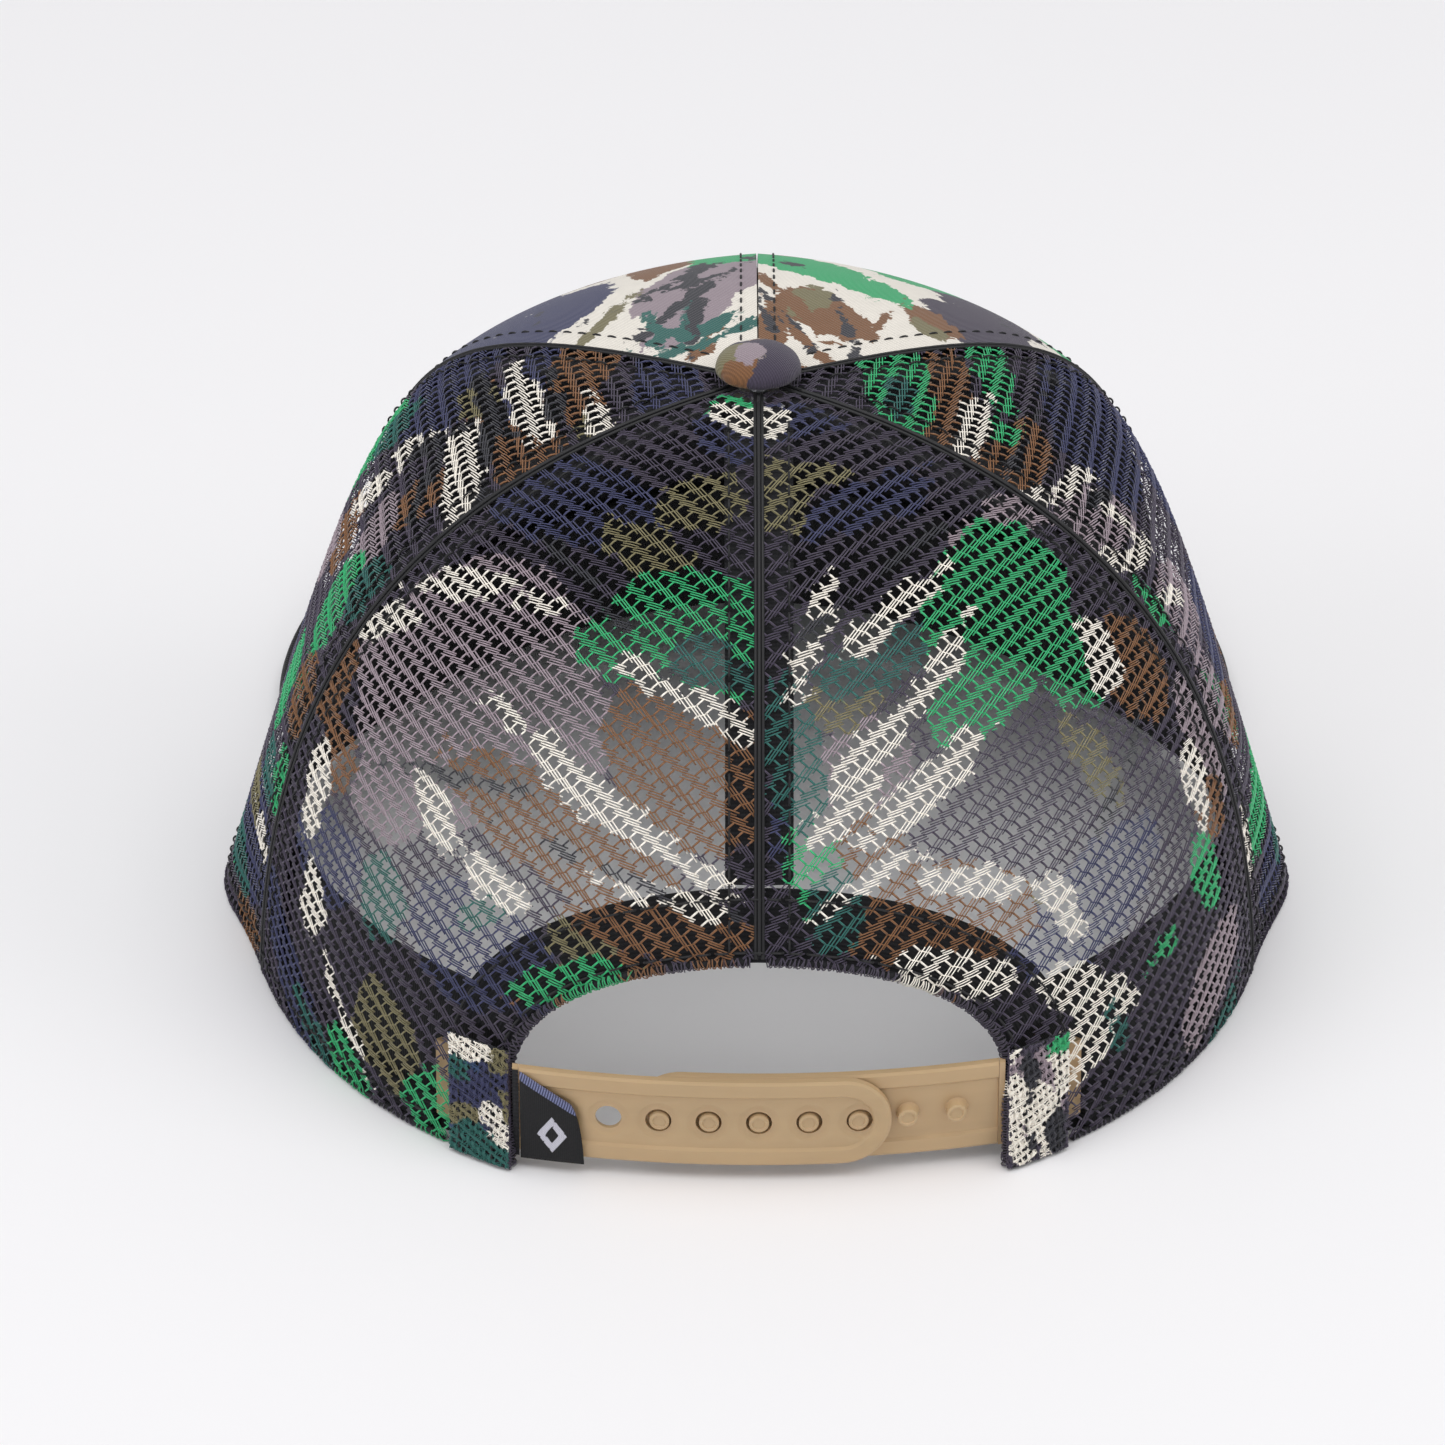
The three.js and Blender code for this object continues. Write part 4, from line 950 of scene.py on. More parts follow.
def crown_slab(name, a, s, depth, thickness, material, cloth, rests_on=(), hems=(), held="stretched", **kw):
    """A closed layer over grids of stations and s, from a depth down."""
    outer, inner = under(a, s, np.full(a.shape, depth)), under(a, s, np.full(a.shape, depth + thickness))
    points, faces = slab(outer, inner)
    both = np.concatenate([cloth.reshape(-1, 3)] * 2)
    fields = dict(kw.pop("fields", {}))
    fields = {key: np.concatenate([value.ravel()] * 2) for key, value in fields.items()}
    fields["cloth"] = both
    piece = new_piece(name, points, faces, material, fields=fields, **kw)
    flat, area = measured(outer)
    return piece


def lengths(points):
    """A grid's distance from its first column and first row, in millimetres, as a cloth coordinate."""
    wide, tall = (np.linalg.norm(np.diff(points, axis=k), axis=-1) for k in (0, 1))
    u = np.concatenate([np.zeros((1, points.shape[1])), np.cumsum(wide, axis=0)])
    v = np.concatenate([np.zeros((points.shape[0], 1)), np.cumsum(tall, axis=1)], 1)
    return np.stack([u, v, np.zeros_like(u)], -1)


def panel_grid(side, low, high, columns, rows, margin, foot, radius):
    """Stations and s over a panel, each column cut to start at s of its foot and end at a radius."""
    share = np.linspace(0, 1, columns + 1)
    stations = side * (low + (high - low) * share)
    ends = s_at_radius(stations, radius)
    starts = foot(stations) if callable(foot) else np.full(columns + 1, float(foot))
    t = np.linspace(0, 1, rows + 1)
    s = starts[:, None] + (ends - starts)[:, None] * t[None, :]
    first, last = beside(side * low, s, side * margin), beside(side * high, s, -side * margin)
    return first + (last - first) * share[:, None], s


for side, word in SIDES:
    panel = f"front_{word}"
    a, s = panel_grid(side, 0, FRONT_SIDE, 110, 150, 0.15, 0.0, CROWN_HOLE)
    fields = print_fields(panel, side, a, s)
    crown_slab(f"front_twill_{word}", a, s, 0.0, CLOTH, CAMO[panel], cloth_fields(a, s, side, "front"),
               slot="camo_twill", replaces=[f"front_panel_{word}"], fields=fields)
    a, s = panel_grid(side, 0, FRONT_SIDE, 40, 60, 1.2, lambda x: s_at_height(x, 1.0), 12)
    crown_slab(f"front_backing_{word}", a, s, UNDER_CLOTH, CLOTH, BLACK_BUCKRAM,
               cloth_fields(a, s, side, "front"), slot="black_buckram", replaces=[f"front_buckram_{word}"])


def seam_tape(name, node, station, depth, foot):
    top = float(s_at_radius(station, 7.0))
    s = np.linspace(float(s_at_height(station, foot)), top, 90)
    radius = np.hypot(*crown(station, s)[:, :2].T)
    half = np.minimum(TAPE_HALF_WIDTH, 0.42 * radius)
    share = np.linspace(-1, 1, 9)
    a = beside(station, s[None, :], share[:, None] * half[None, :])
    s = np.broadcast_to(s, a.shape)
    crown_slab(name, a, s, depth, TAPE_THICKNESS, BLACK_TAPE, lengths(crown(a, s)), slot="black_tape",
               replaces=[node])


seam_tape("tape_front_center", "seam_tape_front_center", 0, UNDER_BUCKRAM, 7.6)
ARCH_TAPE_TOP = ARCH_BASE + ARCH_RISE + 12
seam_tape("tape_back_center", "seam_tape_back_center", BACK, UNDER_CLOTH, ARCH_TAPE_TOP + LAYER_GAP)
for side, word in SIDES:
    for seam, station, depth in (("front", FRONT_SIDE, UNDER_BUCKRAM), ("back", BACK_SIDE, UNDER_CLOTH)):
        seam_tape(f"tape_{seam}_side_{word}", f"seam_tape_{seam}_side_{word}", side * station, depth, 7.6)

angle = np.radians(np.linspace(12, 168, 121))
out = np.linspace(0, 12, 7)
x = (ARCH_WIDTH + out[None, :]) * np.cos(angle)[:, None]
z = ARCH_BASE + (ARCH_RISE + out[None, :]) * np.sin(angle)[:, None]
a, s = rear_place(x, z)
crown_slab("tape_arch", a, s, UNDER_FOLD, TAPE_THICKNESS, BLACK_TAPE, lengths(crown(a, s)),
           slot="black_tape", replaces=["arch_tape"])

end, _ = rear_place(BAND_END, BAND_HEIGHT / 2)
a = np.broadcast_to(np.linspace(-float(end), float(end), 221)[:, None], (221, 13))
s = s_at_height(a[:, 0], BAND_HEIGHT)[:, None] * np.linspace(0, 1, 13)[None, :]
crown_slab("sweatband_cloth", a, s, UNDER_TAPE, BAND_THICKNESS, BLACK_BAND, lengths(crown(a, s)),
           slot="black_sweatband", replaces=["sweatband"])

for side, word in SIDES:
    end, _ = rear_place(HEM_END, HEM_HEIGHT / 2)
    a = np.linspace(FRONT_SIDE + 0.004, float(end), 81) * side
    s = s_at_height(a, HEM_HEIGHT)[:, None] * np.linspace(0, 1, 5)[None, :]
    a = np.broadcast_to(a[:, None], s.shape)
    crown_slab(f"rim_hem_cloth_{word}", a, s, UNDER_CLOTH, UNDER_TAPE - LAYER_GAP - UNDER_CLOTH, BLACK_TAPE,
               lengths(crown(a, s)), slot="camo_mesh", replaces=[f"rim_hem_{word}"])

# ---------------------------------------------------------------- seams, edges and stitching
REAR_X, REAR_Z = np.arange(0, 63.0), np.arange(0, 61.0)
REAR_STATION, REAR_S = rear_place(REAR_X[:, None], REAR_Z[None, :])


def rear_at(x, z):
    """Station and s of the rear face at x and z, from a table of them a millimetre apart."""
    station, s = (table(values, np.abs(x), np.asarray(z)) for values in (REAR_STATION, REAR_S))
    return np.where(x < 0, -1, 1) * station, s


def rear_path(x, z, spacing):
    """Stations, s, points and normals at an even spacing along a line of x and z on the rear face."""
    x, z = resample(np.stack([x, z], 1), spacing).T
    a, s = rear_at(x, z)
    return a, s, crown(a, s), crown_normal(a, s)


STITCH, STITCH_GAP = 2.3, 0.9


def dashes(points, normals, lift=0.0, radius=0.2, pitch=STITCH + STITCH_GAP, length=STITCH):
    """A row of stitches along a path: short threads whose ends dip into the cloth."""
    along = np.concatenate([[0], np.cumsum(np.linalg.norm(np.diff(points, axis=0), axis=1))])
    count = int((along[-1] - length) / pitch)
    where = (np.arange(count) * pitch + 0.4)[:, None] + np.linspace(0, length, 6)[None, :]
    pick = lambda values: np.stack([np.interp(where, along, values[:, k]) for k in range(3)], -1)
    path, up = pick(points), unit(pick(normals))
    rise = lift + radius * np.array([-2.2, 0.2, 0.8, 0.8, 0.2, -2.2])
    return tubes(path + rise[None, :, None] * up, up, radius, 5)


def cord(points, normals, radius, sides=8):
    return tubes(points[None], normals[None], radius, sides)


def seam_line(station, shift, low, high=None, count=240):
    """Points and normals beside a seam, from s of low to the button."""
    high = float(s_at_radius(station, 8.5)) if high is None else high
    s = np.linspace(low, high, count)
    a = beside(station, s, shift)
    return crown(a, s), crown_normal(a, s)


black_rows, seam_cords = [], []
arch_top = float(s_at_height(np.array(3.0), ARCH_BASE + ARCH_RISE + 1.5))
for shift in (-5.2, 5.2):
    black_rows.append(dashes(*seam_line(BACK, shift, arch_top)))
seam_cords.append(cord(*seam_line(BACK, 0, arch_top), 0.3))
for side, word in SIDES:
    for shift in (-5.2, 5.2):
        black_rows.append(dashes(*seam_line(side * BACK_SIDE, shift, 0.012)))
    seam_cords.append(cord(*seam_line(side * BACK_SIDE, 0, 0.012), 0.3))
    black_rows.append(dashes(*seam_line(side * FRONT_SIDE, side * 4.6, 0.012)))
    black_rows.append(dashes(*seam_line(side * FRONT_SIDE, -side * 4.2, 0.012)))
    black_rows.append(dashes(*seam_line(0, side * 3.0, 0.012)))
    seam_cords.append(cord(*seam_line(side * FRONT_SIDE, side * 0.3, 0.012), 0.25))
for out in (1.9, 10.4):
    a, s, points, normals = rear_path(*arch_loop(out), 1.0)
    black_rows.append(dashes(points, normals))
rim_end, _ = rear_at(np.array(55.5), np.array(1.0))
for side, word in SIDES:
    a = np.linspace(0.0, float(rim_end), 400) * side
    s = s_at_height(a, 4.6)
    black_rows.append(dashes(crown(a, s), crown_normal(a, s)))
points, faces = joined(black_rows)
new_piece("crown_stitches", points, faces, BLACK_THREAD, crease=180)
points, faces = joined(seam_cords)
new_piece("crown_seam_cords", points, faces, BLACK_THREAD, crease=180)


def edge_wraps(name, a, s, points, normals, edge, radius, panel, side, thread=0.14, spread=0.3, keep=1.0):
    """A dark roll along an edge, and the printed filaments wrapped round it. edge points out of the cloth."""
    tangent = unit(np.gradient(points, axis=0))
    angles = np.radians(np.linspace(-48, 200, 8))
    count = len(points)
    size = radius * (1 + np.abs(rng.normal(0, 0.09, (count, 1, 1))))
    lean = rng.normal(0, spread, (count, 1, 1))
    center = (points - (radius + 0.1) * normals)[:, None, :]
    arc = center + size * (np.cos(angles)[None, :, None] * normals[:, None, :])
    arc = arc + size * np.sin(angles)[None, :, None] * edge[:, None, :]
    arc = arc + lean * (angles[None, :, None] - 0.8) * tangent[:, None, :]
    arc[..., 2] = np.maximum(arc[..., 2], thread + 0.1)
    chosen = rng.random(count) < keep
    threads = tubes(arc[chosen], np.broadcast_to(tangent[:, None, :], arc.shape)[chosen], thread, 3)
    a, s = (np.repeat(values[chosen], len(angles) * 3) for values in (a, s))
    fields = print_fields(panel, side, a, s)
    fields["cloth"] = cloth_fields(a, s, side, panel.split("_")[0])
    new_piece(name, *joined([threads]), CAMO[panel], slot="camo_mesh", fields=fields, crease=180)
    core = points - (radius + 0.1) * normals
    core[:, 2] = np.maximum(core[:, 2], radius * 0.8)
    new_piece(f"{name}_core", *joined([cord(core, normals, radius * 0.8, 10)]), BLACK_TAPE, slot="black_tape",
              crease=180)


rim_speed = float(station_width(np.array(1.5), np.array(0.0)))  # millimetres to a station, along the rim
for side, word in SIDES:
    x, z = arch_loop(0.35)
    half = (x * side) >= 0
    x, z = x[half], z[half]
    if side < 0:
        x, z = x[::-1], z[::-1]
    a, s, points, normals = rear_path(x, z, 0.5)
    edge = unit(np.cross(np.gradient(points, axis=0), normals))
    center = np.array([0, points[0, 1], 12.0])
    edge *= np.sign((edge * (center - points)).sum())
    edge_wraps(f"arch_edge_{word}", a, s, points, normals, edge, 0.95, f"back_{word}", side)
    for kind, low, high in (("side", FRONT_SIDE, BACK_SIDE), ("back", BACK_SIDE, float(rim_end))):
        a = np.linspace(low + 0.004, high, 200) * side
        s = s_at_height(a, 0.9)
        places = resample(np.stack([a, s], 1) * [rim_speed, 1], 0.8)
        a = places[:, 0] / rim_speed
        s = np.interp(np.abs(a), *np.array([(abs(p), q) for p, q in zip(a, s_at_height(a, 0.9))]).T)
        points, normals = crown(a, s), crown_normal(a, s)
        edge = np.broadcast_to([0.0, 0.0, -1.0], points.shape)
        edge_wraps(f"rim_edge_{kind}_{word}", a, s, points, normals, edge, 0.7, f"{kind}_{word}", side)


# ---------------------------------------------------------------- the folded ends beside the opening
class Fold:
    """The folded mesh over a strap's sewn end: u is x and v is z, on the rear face."""

    def __init__(self, side, depth):
        self.side, self.depth = side, depth
        self.box = [(40.0, 56.0), (0.0, 22.0)]

    def place(self, u, v):
        return rear_at(self.side * u, v)

    def inside(self, u, v):
        return (u > ANCHOR_NEAR + 0.2) & (u < ANCHOR_FAR - 0.3) & (v > 0.5) & (v < 21.7)


ANCHOR_PRINT = {
    "left": ("blue", [
        ("navy", [(50, 12, 6, 6, 0), (46, 17, 4, 4, 0)]),
        ("olive", [(45, 20.5, 3, 2.6, 0), (43.5, 12, 2, 3, 0), (52, 8, 3, 3, 0)]),
        ("teal", [(48, 2.5, 8, 4.5, 0), (53, 18, 2.5, 3, 0)]),
        ("cream", [(44.5, 6.5, 2.4, 1.8, 20), (51, 20.5, 2.6, 1.2, 0), (47.5, 10, 1.6, 2.4, 30)]),
    ]),
    "right": ("plum", [
        ("mauve", [(45, 12, 4, 9, 0), (51, 14, 4, 7, 10)]),
        ("cream", [(44.5, 13, 2.4, 8, 0), (50, 9, 3, 9, 8), (53.5, 17, 2, 4, 0), (47, 3, 2, 2.6, 0)]),
        ("coal", [(47.6, 14, 0.9, 9, 0), (52.5, 6, 1.4, 4, 0)]),
        ("green", [(53.6, 20.4, 2.4, 1.6, 0)]),
    ]),
}
for word, (base, layers) in ANCHOR_PRINT.items():
    CAMO[f"anchor_{word}"] = camo_material(f"camo_anchor_{word}", base, [ink for ink, _ in layers], True)
ANCHOR_NEAR, ANCHOR_FAR, ANCHOR_HEIGHT, ANCHOR_LIFT = 43.4, 54.5, 22.0, 0.3
ANCHOR_LAYERS = ((0.52, -38, 0.8), (0.46, 28, 1.0))  # grain, turn and height above the crown
stitch_parts = []
for side, word in SIDES:
    panel = f"back_{word}"
    x = np.linspace(ANCHOR_NEAR + 0.3, ANCHOR_FAR - 0.3, 12)[:, None] * np.ones(23)
    z = np.linspace(0.4, ANCHOR_HEIGHT - 0.3, 23)[None, :] * np.ones((12, 1))
    a, s = rear_at(side * x, z)
    normals = crown_normal(a, s)
    crumple = 0.12 * np.sin(z * 1.1 + x * 0.7)
    lifts = (0.78 + crumple, ANCHOR_LIFT + 0.02 + 0 * x)
    outer, inner = (crown(a, s) + lift[..., None] * normals for lift in lifts)
    points, faces = slab(outer, inner)
    cloth = np.concatenate([np.stack([x, z, 0 * x], -1).reshape(-1, 3)] * 2)
    new_piece(f"anchor_core_{word}", points, faces, BLACK_BUCKRAM, slot="camo_mesh", fields={"cloth": cloth},
              replaces=[f"strap_anchor_{word}"])
    parts = []
    for grain, turn, lift in ANCHOR_LAYERS:
        parts += knit(Fold(side, -lift), turn, grain, 0.75)
    points, faces = joined([part[0] for part in parts])
    a, s = (np.concatenate([part[k] for part in parts]) for k in (1, 2))
    fields = oval_fields(ANCHOR_PRINT[word][1], np.abs(points[:, 0]), points[:, 2])
    fields["cloth"] = points[:, [0, 2, 1]] * [1, 1, 0]
    new_piece(f"anchor_knit_{word}", points, faces, CAMO[f"anchor_{word}"], slot="camo_mesh", fields=fields,
              crease=180)
    z = np.arange(0.9, ANCHOR_HEIGHT - 0.4, 0.26)
    a, s = rear_at(np.full(len(z), side * (ANCHOR_NEAR + 0.5)), z)
    points = crown(a, s)
    normals = crown_normal(a, s)
    edge = unit(np.cross(np.gradient(points, axis=0), normals))
    edge *= np.sign(-(edge[:, 0] * side).sum())
    points = points + 1.05 * normals
    edge_wraps(f"anchor_edge_{word}", a, s, points, normals, edge, 0.42, panel, side, 0.1, 0.5)
    z = np.linspace(0.8, ANCHOR_HEIGHT - 0.6, 60)
    for x in (46.6, 52.4):
        a, s = rear_at(np.full(60, side * x), z)
        row = dashes(crown(a, s), crown_normal(a, s), lift=1.0, radius=0.2, pitch=1.7, length=1.3)
        stitch_parts.append(row)
new_piece("anchor_stitches", *joined(stitch_parts), BLACK_THREAD, crease=180)


# ---------------------------------------------------------------- snap closure
def round_tip(bottom, top, sewn, tip, inset):
    """A strap's outline, drawn an inset inside it: square at its sewn end and round at its tip."""
    radius = (top - bottom) / 2 - inset
    middle = (top + bottom) / 2
    way = math.copysign(1, tip - sewn)
    center = tip - way * (top - bottom) / 2
    angle = np.linspace(-np.pi / 2, np.pi / 2, 25)
    arc = np.stack([center + way * radius * np.cos(angle), middle + radius * np.sin(angle)], 1)
    long = np.linspace(sewn, center, 34)[:-1]
    low = np.stack([long, np.full(33, middle - radius)], 1)
    high = np.stack([long[::-1], np.full(33, middle + radius)], 1)
    ends = np.linspace(middle + radius, middle - radius, 9)[1:-1]
    end = np.stack([np.full(7, sewn), ends], 1)
    return np.concatenate([low, arc, high, end])


def circle(x, z, radius, count=36):
    angle = np.linspace(0, 2 * np.pi, count, endpoint=False)
    return np.stack([x + radius * np.cos(angle), z + radius * np.sin(angle)], 1)


def within(points, loop):
    """Which points lie in a closed loop."""
    x, z = points[:, 0:1], points[:, 1:2]
    x0, z0 = loop[:, 0], loop[:, 1]
    x1, z1 = np.roll(x0, -1), np.roll(z0, -1)
    crossing = (z0 > z) != (z1 > z)
    safe = np.where(z1 == z0, 1, z1 - z0)
    return (crossing & (x < x0 + (z - z0) / safe * (x1 - x0))).sum(1) % 2 == 1


def cut_plate(outline, holes, steps_in, height, back, radius, spacing=(2.0, 2.6)):
    """A curved plate about the straps' axis: its front follows height(x, z), and its back is plain.

    outline and holes are its edges, steps_in are the other lines where its front changes."""
    loops = [outline, *holes, *steps_in]
    x, z = (np.arange(outline[:, k].min() + spacing[k], outline[:, k].max(), spacing[k]) for k in (0, 1))
    x, z = (v.ravel() for v in np.meshgrid(x, z))
    filling = np.stack([x, z], 1)
    filling = filling[within(filling, outline)]
    every = np.concatenate(loops)
    apart = np.linalg.norm(filling[:, None] - every[None], axis=2).min(1) > 0.45
    filling = filling[apart]
    points = np.concatenate([*loops, filling])
    edges, start = [], 0
    for loop in loops:
        index = np.arange(len(loop)) + start
        edges += np.stack([index, np.roll(index, -1)], 1).tolist()
        start += len(loop)
    found = delaunay_2d_cdt([Vector(p) for p in points.tolist()], edges, [], 0, 1e-5)
    flat, triangles = np.array([tuple(p) for p in found[0]]), np.array([f for f in found[2]])
    middle = flat[triangles].mean(1)
    keep = within(middle, outline)
    for hole in holes:
        keep &= ~within(middle, hole)
    triangles = triangles[keep]
    used, triangles = np.unique(triangles, return_inverse=True)
    triangles = triangles.reshape(-1, 3)
    flat = flat[used]
    p, q, r = (flat[triangles[:, k]] for k in range(3))
    turned = (q - p)[:, 0] * (r - p)[:, 1] - (q - p)[:, 1] * (r - p)[:, 0] > 0
    triangles[turned] = triangles[turned][:, ::-1]
    sides = np.concatenate([triangles[:, [0, 1]], triangles[:, [1, 2]], triangles[:, [2, 0]]])
    known = set(map(tuple, sides.tolist()))
    rim = np.array([e for e in known if (e[1], e[0]) not in known])
    count = len(flat)
    faces = triangles.tolist() + (triangles[:, ::-1] + count).tolist()
    faces += np.stack([rim[:, 1], rim[:, 0], rim[:, 0] + count, rim[:, 1] + count], 1).tolist()
    front, rear = radius + height(flat[:, 0], flat[:, 1]), np.full(count, radius - back)
    return np.concatenate([bent(flat, front), bent(flat, rear)]), faces, np.concatenate([flat, flat])


def bent(flat, radius):
    """Points at x and z wrapped about the straps' upright axis at each radius."""
    y = np.sqrt(np.maximum(radius**2 - flat[:, 0] ** 2, 0))
    return np.stack([flat[:, 0], STRAP_CENTER_Y + y, flat[:, 1]], 1)


LIP, STEP, DISH, DISH_RADIUS, HOLE, PEG = 2.9, 0.45, 0.32, 3.35, 2.3, 1.8
smooth_step = lambda t: np.clip(t, 0, 1) ** 2 * (3 - 2 * np.clip(t, 0, 1))


def tip_distance(x, z, sewn, tip):
    """How far inside a strap's outline each place is."""
    radius = STRAP_HEIGHT / 2
    way = math.copysign(1, tip - sewn)
    center = tip - way * radius
    past = np.maximum((x - center) * way, 0)
    return radius - np.hypot(past, z - STRAP_MIDDLE)


def plate_height(sewn, tip, holes):
    """The front of a strap: a rounded edge, a raised lip, a shallow recess and a dish round each hole."""

    def height(x, z):
        inside = tip_distance(x, z, sewn, tip)
        value = -0.35 * (1 - smooth_step(inside / 0.5))
        value -= STEP * smooth_step((inside - LIP) / 0.55)
        for hole in holes:
            away = np.hypot(x - hole, z - STRAP_MIDDLE)
            value -= DISH * smooth_step((DISH_RADIUS + 0.5 - away) / 0.7)
        return value

    return height


def snap_x(step, radius=STRAP_RADIUS):
    return radius * math.sin(step * SNAP_PITCH / STRAP_RADIUS)


def strap(name, sewn, tip, radius, holes, pegs, body):
    insets = (0.25, 0.5, LIP, LIP + 0.28, LIP + 0.55)
    edge_rings = [round_tip(STRAP_BOTTOM, STRAP_TOP, sewn, tip, inset) for inset in insets]
    dish_radii = (DISH_RADIUS - 0.2, DISH_RADIUS + 0.15, DISH_RADIUS + 0.5)
    rings = [circle(x, STRAP_MIDDLE, r) for x in holes for r in dish_radii]
    bores = [circle(x, STRAP_MIDDLE, HOLE) for x in holes]
    outline = round_tip(STRAP_BOTTOM, STRAP_TOP, sewn, tip, 0)
    height = plate_height(sewn, tip, holes)
    points, faces, _ = cut_plate(outline, bores, edge_rings + rings, height, STRAP_THICKNESS, radius)
    profile = [(2.5, -0.5), (2.15, -0.15), (PEG + 0.12, 0.15), (PEG, 0.5), (PEG - 0.05, 1.45),
               (PEG - 0.35, 1.68), (PEG - 0.6, 1.66), (PEG - 0.75, 1.45), (0.02, 1.4)]
    for x in pegs:
        ring = np.linspace(0, 2 * np.pi, 28, endpoint=False)
        r, h = np.array(profile).T
        px = x + r[:, None] * np.cos(ring)
        pz = STRAP_MIDDLE + r[:, None] * np.sin(ring)
        flat = np.stack([px.ravel(), pz.ravel()], 1)
        base = height(np.array([x]), np.array([STRAP_MIDDLE + 3.6]))[0]
        lift = np.repeat(np.where(h < 0, base + h, np.where(h < 0.2, base * (1 - h / 0.2) + h, h)), 28)
        peg_points = bent(flat, radius + lift)
        i, k = np.meshgrid(np.arange(len(profile) - 1), np.arange(28), indexing="ij")
        after = (k + 1) % 28
        quads = np.stack([i * 28 + k, (i + 1) * 28 + k, (i + 1) * 28 + after, i * 28 + after], -1)
        caps = [np.arange(28)[::-1].tolist(), (np.arange(28) + (len(profile) - 1) * 28).tolist()]
        start = len(points)
        points = np.concatenate([points, peg_points])
        faces = faces + (quads.reshape(-1, 4) + start).tolist() + [[v + start for v in cap] for cap in caps]
    new_piece(name, points, faces, STRAP_PLASTIC, body=body, slot="strap_plastic", replaces=[body], crease=32)


hole_steps, peg_steps = range(-2, 5), range(-4, 3)
peg_outer = STRAP_RADIUS - STRAP_THICKNESS - STRAP_GAP
strap("strap_with_holes", FLEX_X, -23.3, STRAP_RADIUS, [snap_x(k) for k in hole_steps], [], "hole_strap")
strap("strap_with_pegs", -FLEX_X, 22.0, peg_outer, [], [snap_x(k, peg_outer) for k in peg_steps], "peg_strap")


def cad_copy(name, node, material, body="crown"):
    """A hard part that is finished in CAD, with its own material."""
    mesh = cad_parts[node].data.copy()
    mesh.name = name
    mesh.materials.clear()
    mesh.materials.append(material)
    piece = bpy.data.objects.new(name, mesh)
    bpy.context.scene.collection.objects.link(piece)
    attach(piece, body)
    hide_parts(node)


TAB_NEAR, TAB_FAR = FLEX_X + 0.05, 43.3


def tab(name, side, radius, thickness, low, high, material, slot):
    """The short fixed end of a strap or label, between its bend and the mesh fold."""
    wide, tall = np.linspace(TAB_NEAR, TAB_FAR, 4), np.linspace(low, high, 19)
    around = [np.stack([wide[:-1], 0 * wide[:-1] + low], 1),
              np.stack([0 * tall[:-1] + TAB_FAR, tall[:-1]], 1),
              np.stack([wide[:0:-1], 0 * wide[1:] + high], 1),
              np.stack([0 * tall[1:] + TAB_NEAR, tall[:0:-1]], 1)]
    outline = np.concatenate(around) * [side, 1]
    points, faces, flat = cut_plate(outline, [], [], lambda x, z: 0 * x, thickness, radius)
    cloth = np.stack([flat[:, 0], flat[:, 1], 0 * flat[:, 0]], 1)
    new_piece(name, points, faces, material, slot=slot, fields={"cloth": cloth}, crease=32)


for name, side, radius in (("hole_strap", 1, STRAP_RADIUS), ("peg_strap", -1, peg_outer)):
    tab(f"{name}_root", side, radius, STRAP_THICKNESS, STRAP_BOTTOM, STRAP_TOP, STRAP_PLASTIC,
        "strap_plastic")
tab("flag_label_root", 1, STRAP_RADIUS + 0.2, 0.15, 2.2, 20, BLACK_TAPE, "label_weave")
for name in ("hole_strap", "peg_strap"):
    cad_copy(f"{name}_end", f"{name}_sewn_end", STRAP_PLASTIC)
cad_copy("button_pin", "button_shank", STEEL)
cad_copy("button_disc", "button_washer", STEEL)

# ---------------------------------------------------------------- the folded label
LABEL_NEAR, LABEL_FAR, LABEL_BOTTOM, LABEL_TOP, LABEL_THICKNESS = 42, 30.8, 2.2, 20, 0.8
SHOULDER, BEND = np.array([33.0, 14.2]), np.array([31.2, 11.5])
t = np.linspace(0, 1, 15)[:, None]
curve = (1 - t) ** 2 * SHOULDER + 2 * (1 - t) * t * BEND + t**2 * np.array([LABEL_FAR, LABEL_BOTTOM])
CORNER = np.array([LABEL_NEAR, LABEL_TOP])
slant = CORNER + (SHOULDER - CORNER) * np.linspace(0, 1, 14)[:-1, None]
near = np.stack([np.full(16, float(LABEL_NEAR)), np.linspace(LABEL_BOTTOM, LABEL_TOP, 17)[:-1]], 1)
foot = np.stack([np.linspace(LABEL_FAR, LABEL_NEAR, 12)[1:-1], np.full(10, float(LABEL_BOTTOM))], 1)
label_outline = np.concatenate([near, slant, curve, foot])
slant_way = unit(SHOULDER - CORNER)
slant_normal = np.array([-slant_way[1], slant_way[0]])
if slant_normal[1] > 0:
    slant_normal = -slant_normal


def label_edge(x, z):
    """Distance below the label's slanting edge."""
    return (x - LABEL_NEAR) * slant_normal[0] + (z - LABEL_TOP) * slant_normal[1]


def label_height(x, z):
    flat = np.stack([x, z], 1)
    away = np.linalg.norm(flat[:, None] - label_outline[None], axis=2).min(1)
    billow = 0.1 * np.sin((x - LABEL_FAR) * 0.5) * np.sin(z * 0.35)
    return -0.25 * (1 - smooth_step(away / 0.45)) + billow * smooth_step(away / 2)


